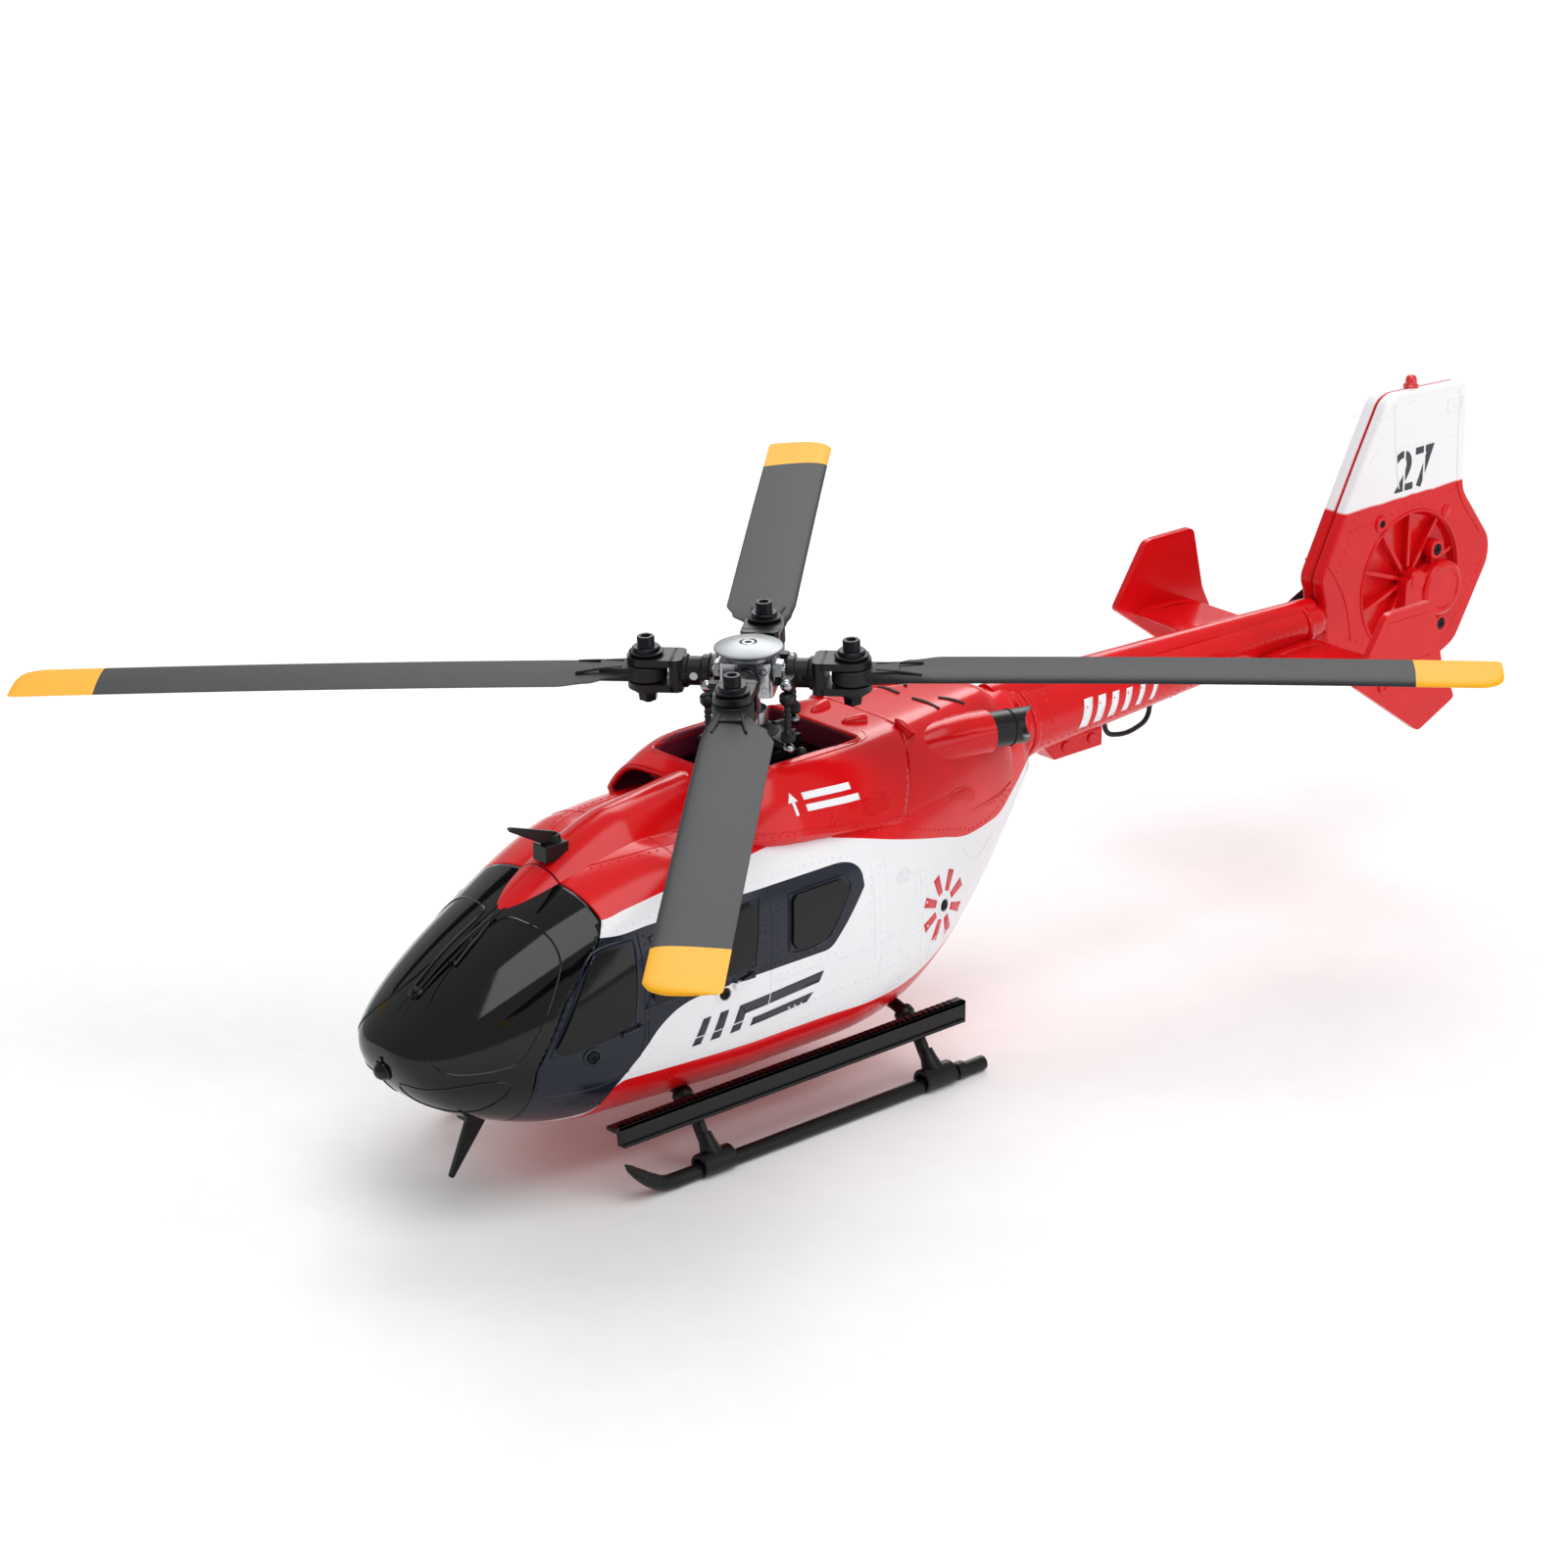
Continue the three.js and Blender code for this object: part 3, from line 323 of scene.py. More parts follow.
def turnedShape(bm, profile, place=None, steps=40):
    # spins [radius, height] pairs about Z
    made = bmesh.new()
    verts = [made.verts.new((r, 0, z)) for r, z in profile]
    edges = [made.edges.new(pair) for pair in zip(verts, verts[1:])]
    bmesh.ops.spin(made, geom=verts + edges, cent=(0, 0, 0), axis=(0, 0, 1), dvec=(0, 0, 0),
                   angle=2 * math.pi, steps=steps, use_merge=True, use_duplicate=False)
    bmesh.ops.remove_doubles(made, verts=made.verts, dist=0.003)
    bmesh.ops.recalc_face_normals(made, faces=made.faces)
    return addFrom(bm, made, place)


def meshFromCurve(curve):
    holder = bpy.data.objects.new("curve", curve)
    bpy.context.scene.collection.objects.link(holder)
    bpy.context.view_layer.update()
    mesh = bpy.data.meshes.new_from_object(holder.evaluated_get(bpy.context.evaluated_depsgraph_get()))
    made = bmesh.new()
    made.from_mesh(mesh)
    bpy.data.objects.remove(holder)
    bpy.data.curves.remove(curve)
    bpy.data.meshes.remove(mesh)
    return made


def addTube(bm, points, radius, closed=False, smooth=True, sides=3, radii=None):
    curve = bpy.data.curves.new("tube", "CURVE")
    curve.dimensions = "3D"
    curve.bevel_depth = radius
    curve.bevel_resolution = sides
    curve.use_fill_caps = not closed
    spline = curve.splines.new("BEZIER" if smooth else "POLY")
    dots = spline.bezier_points if smooth else spline.points
    dots.add(len(points) - 1)
    for i, (dot, point) in enumerate(zip(dots, points)):
        dot.co = point if smooth else (*point, 1)
        if radii:
            dot.radius = radii[i]
        if smooth:
            dot.handle_left_type = dot.handle_right_type = "AUTO"
    spline.use_cyclic_u = closed
    spline.resolution_u = 8
    made = meshFromCurve(curve)
    bmesh.ops.remove_doubles(made, verts=made.verts, dist=radius * 0.02)
    bmesh.ops.recalc_face_normals(made, faces=made.faces)
    return addFrom(bm, made)


def roundedLoop(outline, radius, steps=5):
    # the outline's points with each corner turned into a curve
    points = [Vector(p) for p in outline]
    loop = []
    for i, corner in enumerate(points):
        before, after = points[i - 1], points[(i + 1) % len(points)]
        reach = min(radius, (before - corner).length * 0.45, (after - corner).length * 0.45)
        start = corner + (before - corner).normalized() * reach
        end = corner + (after - corner).normalized() * reach
        for k in range(steps + 1):
            t = k / steps
            loop.append(start * (1 - t) ** 2 + corner * 2 * t * (1 - t) + end * t ** 2)
    return loop


def plateMesh(loops, x0, x1):
    # flat loops of (y, z), the first outside and the others holes, given a thickness along X
    bm = bmesh.new()
    for loop in loops:
        verts = [bm.verts.new((x0, p[0], p[1])) for p in loop]
        for pair in zip(verts, verts[1:] + verts[:1]):
            bm.edges.new(pair)
    bmesh.ops.triangle_fill(bm, use_beauty=True, edges=bm.edges)
    made = bmesh.ops.extrude_face_region(bm, geom=bm.faces[:])
    moved = [g for g in made["geom"] if isinstance(g, bmesh.types.BMVert)]
    bmesh.ops.translate(bm, verts=moved, vec=(x1 - x0, 0, 0))
    bmesh.ops.recalc_face_normals(bm, faces=bm.faces)
    bmesh.ops.dissolve_limit(bm, angle_limit=0.01, verts=bm.verts, edges=bm.edges,
                             use_dissolve_boundaries=False)
    return bm


def circleLoop(y, z, radius, steps=64):
    return [(y + radius * math.cos(2 * math.pi * k / steps), z + radius * math.sin(2 * math.pi * k / steps))
            for k in range(steps)]


def seat(skin, point, lift=0.0):
    # a point brought onto a skin, and the skin's normal there
    place, normal = skin.find_nearest(Vector(point))[:2]
    return place + normal * lift, normal


def smoothPath(points, step, closed):
    # evenly spaced points on a curve through the given ones
    points = [Vector(p) for p in points]
    count = len(points)
    path = []
    for i in range(count if closed else count - 1):
        p = [points[(i + k) % count] if closed else points[min(max(i + k, 0), count - 1)]
             for k in (-1, 0, 1, 2)]
        parts = max(2, round((p[2] - p[1]).length / step))
        for k in range(parts):
            t = k / parts
            path.append(0.5 * (2 * p[1] + (p[2] - p[0]) * t + (2 * p[0] - 5 * p[1] + 4 * p[2] - p[3]) * t * t
                               + (3 * p[1] - p[0] - 3 * p[2] + p[3]) * t ** 3))
    return path if closed else path + [points[-1]]


def addBead(bm, skin, points, radius=0.2, closed=True, step=1.2, lift=0.0):
    # a thin raised line that follows the skin
    path = [seat(skin, p, lift)[0] for p in smoothPath(points, step, closed)]
    return addTube(bm, path, radius, closed, smooth=False, sides=1)


def mirrored(points):
    return [(-p[0], *p[1:]) for p in points]


def addRivets(bm, skin, points, spacing, radius=0.34, height=0.2):
    walked = smoothPath(points, 0.4, False)
    left = 0.0
    for a, b in zip(walked, walked[1:]):
        left -= (b - a).length
        if left <= 0:
            left += spacing
            place, normal = seat(skin, a, height / 2 - 0.03)
            bmesh.ops.create_cone(bm, cap_ends=True, segments=7, radius1=radius, radius2=radius * 0.45,
                                  depth=height, matrix=facing(place, normal))


screwHead = {"radius": 1.15, "height": 0.55, "slotWide": 0.24, "steps": 24}


def addScrew(bm, place, normal, scale=1.0):
    # pan head with a cross recess: the recess walls stand inside a sunk rim
    s = screwHead
    m = facing(place, normal) @ Matrix.Scale(scale, 4)
    r, h = s["radius"], s["height"]
    turnedShape(bm, [(r, -0.6), (r, h * 0.3), (r * 0.86, h * 0.72), (r * 0.6, h * 0.95), (r * 0.55, h * 0.95),
                     (r * 0.5, h * 0.45), (0, h * 0.4)], m, s["steps"])
    for turn in range(4):
        quarter = bmesh.new()
        addBoxes(quarter, ((s["slotWide"] / 2, s["slotWide"] / 2, h * 0.3), (r * 0.42, r * 0.42, h * 0.9)))
        addFrom(bm, quarter, m @ Matrix.Rotation(turn * math.pi / 2, 4, "Z"))


# the pod's shape
podShape = {"noseY": -92.0, "noseZ": 34.0, "endY": 67.5, "half": 27.0, "top": 62.5, "bottom": 10.4,
            "flare": 71.5, "windshieldRun": 56.0, "chinRun": 37.5, "taperY": 5.0, "neckR": 9.4, "neckZ": 57.8,
            "roundRun": 43.0, "shoulder": (-62, -24), "columns": 176, "rows": 150}
noseSeam = [(-53, 80), (-53, 53.5), (-55.7, 49.7), (-64.4, 41), (-70.7, 29), (-71.3, 19), (-71.5, 0)]


def share(v, low, high):
    return min(1.0, max(0.0, (v - low) / (high - low)))


def swell(s, bend, power):
    return (1 - (1 - s) ** bend) ** power


def podAt(y):
    p = podShape
    tail = share(y, p["taperY"], p["endY"])
    grown = share(y, p["noseY"], p["noseY"] + p["flare"])
    half = p["half"] * swell(grown, 1.56, 0.36) - (p["half"] - p["neckR"]) * tail ** 1.5
    top = (p["noseZ"] + (p["top"] - p["noseZ"]) * swell(share(y, p["noseY"], p["noseY"] + p["windshieldRun"]),
                                                        1.3, 0.8)
           + (p["neckZ"] + p["neckR"] - p["top"]) * tail)
    bottom = (p["noseZ"] - (p["noseZ"] - p["bottom"]) * swell(share(y, p["noseY"], p["noseY"] + p["chinRun"]),
                                                              1.3, 0.43)
              + (p["neckZ"] - p["neckR"] - p["bottom"]) * tail ** 2.5)
    middle = p["noseZ"] + ((top + bottom) / 2 - p["noseZ"]) * 0.75
    rounder = share(y, p["endY"] - p["roundRun"], p["endY"])
    side = (2.2 + 0.7 * grown) * (1 - rounder) + 2 * rounder
    crown = (2.3 + 0.5 * grown) * (1 - rounder) + 2 * rounder
    return half, top, bottom, middle, side, crown


def squared(y, side, crown):
    # the pod's upper edge is squared off beside the cowl
    p = podShape
    amount = share(y, *p["shoulder"]) * (1 - share(y, p["endY"] - p["roundRun"], p["endY"]))
    return side + 0.4 * amount, crown + 1.4 * amount


def powered(v, power):
    return math.copysign(abs(v) ** power, v)


def podPoint(y, angle):
    half, top, bottom, middle, side, crown = podAt(y)
    if math.sin(angle) > 0:
        side, crown = squared(y, side, crown)
    rise = powered(math.sin(angle), 2 / crown)
    return Vector((half * powered(math.cos(angle), 2 / side), y,
                   middle + (top - middle if rise > 0 else middle - bottom) * rise))


def seamY(z):
    for (y0, z0), (y1, z1) in zip(noseSeam, noseSeam[1:]):
        if z >= z1:
            return y0 + (y1 - y0) * (z0 - z) / (z0 - z1)
    return noseSeam[-1][0]


def cutSeam(bm, shift):
    for (y0, z0), (y1, z1) in zip(noseSeam, noseSeam[1:]):
        cutPlane(bm, (0, y0 + shift, z0), (0, z0 - z1, y1 - y0))


def sideX(y, z):
    # the pod's half width at a height
    half, top, bottom, middle, side, crown = podAt(y)
    t = min(1, abs(z - middle) / (top - middle if z > middle else middle - bottom))
    if z > middle:
        side, crown = squared(y, side, crown)
    return half * (1 - t ** crown) ** (1 / side)


def onPod(side, y, z):
    return side * sideX(y, z), y, z


# the rows crowd towards the nose
podBody = sheet(podShape["columns"], podShape["rows"], lambda u, w: podPoint(
    podShape["noseY"] + (podShape["endY"] - podShape["noseY"]) * w ** 1.9, 2 * math.pi * u))
podSkin = BVHTree.FromBMesh(podBody)

# livery: every boundary is a curve of height over length, in millimetres from the mast
livery = {
    "white": "#f1f1f4", "red": "#db0f15", "navy": "#191e2b", "span": (-95, 75), "rise": 110,
    "roofRed": [(-95, 53), (-53, 53.4), (-47.9, 54.8), (-38.3, 57), (-19, 58.8), (-10, 59.2), (3, 57),
                (18.5, 52.9), (31, 49.4), (40.4, 46.8), (51.6, 46.4), (60, 49.5), (68, 54)],
    "bellyRed": [(-95, 10), (-57, 14.5), (-53.7, 21.3), (-51, 22.5), (-24.4, 22.4), (-4, 22.3), (12.7, 21.6),
                 (24.6, 22.4), (34, 25), (44, 29.5), (54, 36), (64, 44), (70, 48)],
    "navyTop": [(-95, 51), (-53, 50.9), (-45.1, 52), (-36.7, 53), (-21.5, 53.4), (-2.7, 53.4), (2.2, 52.9),
                (4.4, 51.6), (5.5, 49.6), (5.7, 47.4)],
    "navyBottom": [(-95, 12), (-57, 15.5), (-53.7, 21.3), (-48.2, 28.4), (-44, 33), (-39, 35.6), (-33, 36.4),
                   (-24, 36.9), (-5, 36.9), (-3.2, 37.3), (-1.6, 38.6), (5, 46.6), (5.7, 47.6)],
    "navyEnd": 5.7,
}


def liveryHeight(tree, along, key):
    low, high = livery["span"]
    node = addNode(tree, "ShaderNodeFloatCurve", None, {"Value": along})
    curve = node.mapping.curves[0]
    dots = [((y - low) / (high - low), z / livery["rise"]) for y, z in livery[key]]
    curve.points[0].location = dots[0]
    curve.points[1].location = dots[-1]
    for dot in dots[1:-1]:
        curve.points.new(*dot)
    for point in curve.points:
        point.handle_type = "AUTO_CLAMPED"
    node.mapping.update()
    return node.outputs["Value"]


def liveryMaterial():
    # sprayed lacquer in three masked colours under one clear coat
    material, tree, shader, place = startMaterial("masked livery lacquer", livery["white"], 0.2, coat=0.06,
                                                  specular=0.3)
    addGrain(tree, shader, place, 1.4, 0.006, 0.17, 0.23)
    xyz = addNode(tree, "ShaderNodeSeparateXYZ", None, {"Vector": place})
    low, high = livery["span"]
    along = addNode(tree, "ShaderNodeMapRange",
                    {"From Min": (low + mastY) / 1000, "From Max": (high + mastY) / 1000},
                    {"Value": xyz.outputs["Y"]}).outputs["Result"]
    height = addNode(tree, "ShaderNodeMath", {"operation": "MULTIPLY", 1: 1000 / livery["rise"]},
                     {0: xyz.outputs["Z"]}).outputs[0]
    above = {key: addNode(tree, "ShaderNodeMath", {"operation": "GREATER_THAN"},
                          {0: height, 1: liveryHeight(tree, along, key)}).outputs[0]
             for key in ("roofRed", "bellyRed", "navyTop", "navyBottom")}
    navyEnd = (livery["navyEnd"] - low) / (high - low)
    ended = addNode(tree, "ShaderNodeMath", {"operation": "LESS_THAN", 1: navyEnd}, {0: along}).outputs[0]
    band = addNode(tree, "ShaderNodeMath", {"operation": "SUBTRACT", "use_clamp": True},
                   {0: above["navyBottom"], 1: above["navyTop"]}).outputs[0]
    navy = addNode(tree, "ShaderNodeMath", {"operation": "MULTIPLY"}, {0: band, 1: ended}).outputs[0]
    belly = addNode(tree, "ShaderNodeMath", {"operation": "SUBTRACT", 0: 1.0},
                    {1: above["bellyRed"]}).outputs[0]
    red = addNode(tree, "ShaderNodeMath", {"operation": "MAXIMUM"},
                  {0: belly, 1: above["roofRed"]}).outputs[0]
    base = mottle(tree, shader, place, "#ececef", livery["white"], 12)
    base = overpaint(tree, shader, base, red, livery["red"])
    overpaint(tree, shader, base, navy, livery["navy"])
    return material


liveryPaint = liveryMaterial()

# fuselage halves and nose
shell = {"wall": 1.1, "seamGap": 0.3, "well": ((-14.5, -14.5, 50), (14.5, 21.5, None))}


def fuselageHalf(side):
    bm = podBody.copy()
    cutSeam(bm, shell["seamGap"])
    dropFaces(bm, lambda c: c.y < seamY(c.z) + shell["seamGap"])
    openBox(bm, *shell["well"])
    cutPlane(bm, (side * 0.08, 0, 0), (-side, 0, 0), drop=True)
    name = "left" if side > 0 else "right"
    piece = makePiece(bm, f"pod_half_{name}", "airframe", [liveryPaint, innerBlack],
                      replaces=[f"fuselage_{name}"])
    return addWall(piece, shell["wall"], inner=1, rim=0)


fuselageHalf(1)
fuselageHalf(-1)
noseCover = podBody.copy()
cutSeam(noseCover, 0)
dropFaces(noseCover, lambda c: c.y > seamY(c.z))
noseCover = makePiece(noseCover, "nose_cover", "canopy", [pianoBlack, innerBlack], replaces=["nose_canopy"])
addWall(noseCover, shell["wall"], inner=1)
print("pod skins done")

# nose detail: glazing beads, chin panel, wiper, sensor
portScreen = [(2.6, -64.6, 52.6), (8, -62.7, 52.6), (13, -61.8, 51.2), (17, -62.4, 47.9), (19.1, -65.5, 43.4),
              (19.8, -70.5, 35.8), (18.6, -74.3, 31.2), (15, -82, 30.2), (12, -86.8, 31.2),
              (9.6, -88.6, 34.4), (6.6, -86.6, 38.6), (3.4, -80.8, 43.8), (2.2, -72, 48.9)]
chinPanel = [(3.2, -90.2, 26.6), (8.6, -88.4, 27), (14.7, -82.5, 28), (17.4, -76.6, 27.8),
             (17.6, -75.4, 25.8), (15.2, -77, 23.2), (11, -80, 20.6), (6, -84.5, 19.4), (3.2, -87.5, 21)]
bm = bmesh.new()
for outline in (portScreen, chinPanel):
    addBead(bm, podSkin, outline, 0.2)
    addBead(bm, podSkin, mirrored(outline), 0.2)
for x in (0.95, -0.95):
    addBead(bm, podSkin, [(x, -62, 54), (x, -70, 49.8), (x, -78, 45.2), (x, -86, 38)], 0.16, closed=False)
makePiece(bm, "glazing_beads", "canopy", pianoBlack)

wiper = {"pivotY": -82.5, "tipY": -64.5, "arm": 0.34, "blade": 0.26, "lift": 0.75}
bm = bmesh.new()
for x, lead in ((0.25, 0), (-0.35, 2.4)):
    top, normal = seat(podSkin, (x * 4, wiper["tipY"] - lead, 52), wiper["lift"])
    low, normal = seat(podSkin, (x * 2, wiper["pivotY"] + lead * 0.3, 41.4), wiper["lift"])
    middle, normal = seat(podSkin, (x * 3, -74, 48), wiper["lift"] + 0.35)
    addTube(bm, [low, middle, top], wiper["arm"], sides=2)
hinge, normal = seat(podSkin, (0, wiper["pivotY"], 41.4), 0)
turnedShape(bm, [(1.5, -0.4), (1.5, 0.35), (1.2, 0.6), (0.7, 0.7), (0.7, 1.05), (0.5, 1.2), (0, 1.2)],
            facing(hinge, normal), 24)
blade = [seat(podSkin, (1.4 + 0.5 * k, -66 - 3.2 * k, 51), 0.35)[0] for k in range(5)]
addTube(bm, blade, wiper["blade"], sides=2)
for k in (0, 2, 4):
    addTube(bm, [blade[k], blade[k] + Vector((-0.5, 0.5, 0.8))], 0.18, sides=1)
makePiece(bm, "wiper", "canopy", satinBlack)

bm = bmesh.new()
eye, normal = seat(podSkin, (0, -91.8, 28.6))
turnedShape(bm, [(2.2, -0.6), (2.2, 0.25), (1.95, 0.5), (1.7, 0.5), (1.6, 0.9), (1.2, 1.45), (0.6, 1.75),
                 (0, 1.85)],
            facing(eye, normal), 32)
turnedShape(bm, [(0.5, 0), (0.45, 0.35), (0, 0.4)], facing(*seat(podSkin, (0.4, -90.9, 31.6))), 16)
makePiece(bm, "nose_lens", "canopy", pianoBlack, replaces=["nose_sensor"])

# windows of the cabin, cut out of the pod's own skin
windows = {
    "door": [(-66.9, 32.8), (-62.9, 39.6), (-58.6, 46.4), (-55.4, 48.5), (-50.9, 49.2), (-49.7, 48),
             (-50.9, 35.6), (-52.5, 33.7), (-66, 31.3)],
    "middle": [(-46.6, 38.4), (-45.1, 48.4), (-43.8, 49.8), (-23.7, 51.2), (-22.2, 50), (-23.4, 40.4),
               (-24.9, 39.2), (-45.4, 37)],
    "rear": [(-13.6, 41), (-13.2, 49.2), (-12.1, 50.3), (-0.9, 50.4), (1.2, 49), (1, 47.4), (-3.5, 41),
             (-5.6, 39.6), (-12.2, 39.3)],
}
glazing = {"proud": 0.55, "thick": 1.0, "edge": 0.4, "bead": 0.24, "beadOut": 0.75}


def outlineMiddle(outline):
    return Vector((sum(p[0] for p in outline), sum(p[1] for p in outline))) / len(outline)


def skinPatch(skinMesh, outline, side, lift, thick, name, body, material, edge=None):
    # a piece of skin inside a convex (y, z) outline, standing on one side of the model
    bm = skinMesh.copy()
    middle = outlineMiddle(outline)
    cutPlane(bm, (side * 2, 0, 0), (-side, 0, 0), drop=True)
    for a, b in zip(outline, outline[1:] + outline[:1]):
        a, b = Vector(a), Vector(b)
        normal = Vector((b.y - a.y, a.x - b.x))
        if normal.dot(middle - a) > 0:
            normal = -normal
        cutPlane(bm, (0, a.x, a.y), (0, normal.x, normal.y), drop=True)
    bm.normal_update()
    for v in bm.verts:
        v.co += v.normal * lift
    bmesh.ops.dissolve_degenerate(bm, dist=0.02, edges=bm.edges)
    piece = makePiece(bm, name, body, material)
    addWall(piece, thick)
    if edge:
        addBevel(piece, edge, 3, 50)
    return piece


def grownOutline(outline, by):
    middle = outlineMiddle(outline)
    return [tuple(Vector(p) + (Vector(p) - middle).normalized() * by) for p in outline]


for side, sideName in bothSides:
    bm = bmesh.new()
    for name, outline in windows.items():
        skinPatch(podBody, outline, side, glazing["proud"], glazing["thick"], f"window_{name}_{sideName}",
                  "airframe", windowBlack, glazing["edge"])
        rim = [onPod(side, y, z) for y, z in grownOutline(outline, glazing["beadOut"])]
        addBead(bm, podSkin, rim, glazing["bead"], step=0.8)
    makePiece(bm, f"window_beads_{sideName}", "airframe", liveryPaint)
print("windows done")

# raised panel lines, rivets, handles and screws on the pod's sides
panelLines = {
    "door": [(-53.4, 50.3), (-57.5, 48.4), (-62.4, 43), (-66.4, 36.9), (-69.4, 30.4), (-70.4, 25.6),
             (-69, 23.2), (-62.9, 22.3), (-55.8, 22.8), (-50.4, 25.2), (-48.6, 30.2), (-48.3, 38),
             (-48, 50.9)],
    "slide": [(-18.6, 53), (-18.4, 45), (-18.8, 38), (-19.6, 30), (-24, 28.4), (-40, 27.6), (-46.8, 28.6),
              (-47.6, 34)],
    "track": [(-19, 34.2), (-6, 34.4), (8, 34.2), (21, 33.6)],
    "upright": [(8.6, 31), (8.4, 40), (7.8, 51)],
    "rearFrame": [(23.5, 24.5), (23.8, 34), (22.6, 46)],
    "sill": [(-44, 24.4), (-20, 24.2), (6, 24.3), (20, 24.9)],
    "hatch": [(10.5, 26.5), (16.5, 26.5), (16.5, 31), (10.5, 31)],
    "rearHatch": [(27.6, 24.6), (32.6, 25.6), (33, 29), (28, 28.4)],
    "tailBrace": [(38, 45.2), (43, 40.6), (50, 43)],
}
closedLines = {"hatch", "rearHatch"}
rivetRows = [
    ([(-51, 51.8), (-38, 54.2), (-22, 54.7), (-4, 54.6), (6, 53.4)], 1.75),
             ([(-47.2, 27), (-47.3, 38), (-46.9, 51)], 1.7),
    ([(-20.4, 38), (-20.1, 51.5)], 1.7), ([(-17.2, 38), (-16.8, 52)], 1.7),
             ([(-50.5, 23.8), (-20, 23.2), (20, 23.4)], 1.65),
    ([(-50, 19.6), (-20, 18.6), (18, 19.6)], 1.65), ([(10.2, 25), (10, 38), (9.6, 53)], 1.7),
    ([(12.4, 34.8), (12, 44), (11.6, 53)], 1.7), ([(21.8, 24.6), (22, 34), (21, 46)], 1.7),
    ([(25.4, 24.6), (25.6, 34), (24.4, 45)], 1.7), ([(-18, 35.4), (-4, 35.6), (8, 35.4), (20, 34.8)], 1.75),
    ([(-14, 27.6), (8, 27.8), (20, 28.2)], 1.75),
             ([(-16, 60.2), (0, 58.4), (19, 54.6), (31, 50.9), (40, 48.3)], 1.7),
    ([(41, 47.6), (50, 47.4), (60, 50.4)], 1.9), ([(-52.4, 22.5), (-52, 16)], 1.6),
             ([(-66, 20.4), (-54, 17.6)], 1.6),
    ([(-43.6, 35.2), (-36, 37), (-24, 37.7), (-6, 37.8)], 1.75), ([(7.2, 37), (7.4, 50)], 1.7),
]
handles = [((-53, 32.6), (-49.6, 33.2)), ((-27.7, 36.2), (-23.9, 37.3))]
podScrews = [(-59.5, 29.4), (-30.3, 35.1), (31.3, 35.1)]
louvre = {"y": 17.2, "z": 46, "wide": 4.6, "tall": 2.9, "slats": 5, "pitch": 0.46, "inset": 0.4,
          "corners": 6, "rim": 0.14, "rimStep": 1.2, "slat": 0.12, "spots": (-1, 0, 1)}


def addOvalVent(bm, skin, vent, onSide):
    y, z, wide, tall = (vent[key] for key in ("y", "z", "wide", "tall"))
    oval = [onSide(y + a * wide / 2, z + b * tall / 2) for a, b in circleLoop(0, 0, 1, vent["corners"])]
    addBead(bm, skin, oval, vent["rim"], step=vent["rimStep"])
    for k in range(vent["slats"]):
        dz = (k - (vent["slats"] - 1) / 2) * vent["pitch"]
        span = wide / 2 * math.sqrt(1 - (dz / tall * 2) ** 2) - vent["inset"]
        addBead(bm, skin, [onSide(y + span * t, z + dz) for t in vent["spots"]], vent["slat"], closed=False)


for side, sideName in bothSides:
    lines, rivets, steel = bmesh.new(), bmesh.new(), bmesh.new()
    for name, line in panelLines.items():
        addBead(lines, podSkin, [onPod(side, y, z) for y, z in line], 0.13, closed=name in closedLines,
                step=1.4)
    for row, spacing in rivetRows:
        addRivets(rivets, podSkin, [onPod(side, y, z) for y, z in row], spacing)
    addOvalVent(lines, podSkin, louvre, lambda y, z: onPod(side, y, z))
    for a, b in handles:
        ends = [seat(podSkin, onPod(side, *p), 0.45)[0] for p in (a, b)]
        rodBetween(lines, ends[0], ends[1], 0.42, sides=12)
        for end in ends:
            foot, normal = seat(podSkin, end, 0)
            turnedShape(lines, [(0.75, -0.2), (0.7, 0.5), (0.5, 0.85), (0, 0.9)], facing(foot, normal), 14)
    for y, z in podScrews:
        place, normal = seat(podSkin, onPod(side, y, z), 0.05)
        turnedShape(lines, [(2.1, -0.3), (2.05, 0.12), (1.8, 0.22), (1.4, 0.2), (1.35, -0.1), (0, -0.2)],
                    facing(place, normal), 30)
        addScrew(steel, place, normal)
    makePiece(lines, f"panel_lines_{sideName}", "airframe", liveryPaint)
    makePiece(rivets, f"rivets_{sideName}", "airframe", liveryPaint, sharp=80)
    makePiece(steel, f"pod_screws_{sideName}", "airframe", blackenedSteel)

# decals on the pod: speed stripes below the windows and a ring of bars round the rear screw
stripes = [[(-37.4, 25.9), (-35.2, 31.2), (-33.4, 31.4), (-35.4, 26.0)],
           [(-33.2, 26.1), (-31.2, 31.5), (-29.2, 31.6), (-31, 26.2)],
           [(-28.6, 26.3), (-26.6, 31.7), (-5.2, 33), (-6.4, 30.9), (-25.2, 29.7), (-26.2, 26.5)],
           [(-23.8, 26.6), (-23.2, 28.2), (-7.8, 29.2), (-9.4, 27.5)]]
film = {"lift": 0.06, "thick": 0.04}
emblem = {"y": 31.3, "z": 35.1, "bars": 8, "inner": 2.9, "outer": 7.2, "wide": 2.1}


def stripParts(outline):
    # an L-shaped outline as convex parts, since patches are cut by whole planes
    if len(outline) == 4:
        return [outline]
    return [[outline[0], outline[1], outline[4], outline[5]],
            [outline[1], outline[2], outline[3], outline[4]]]


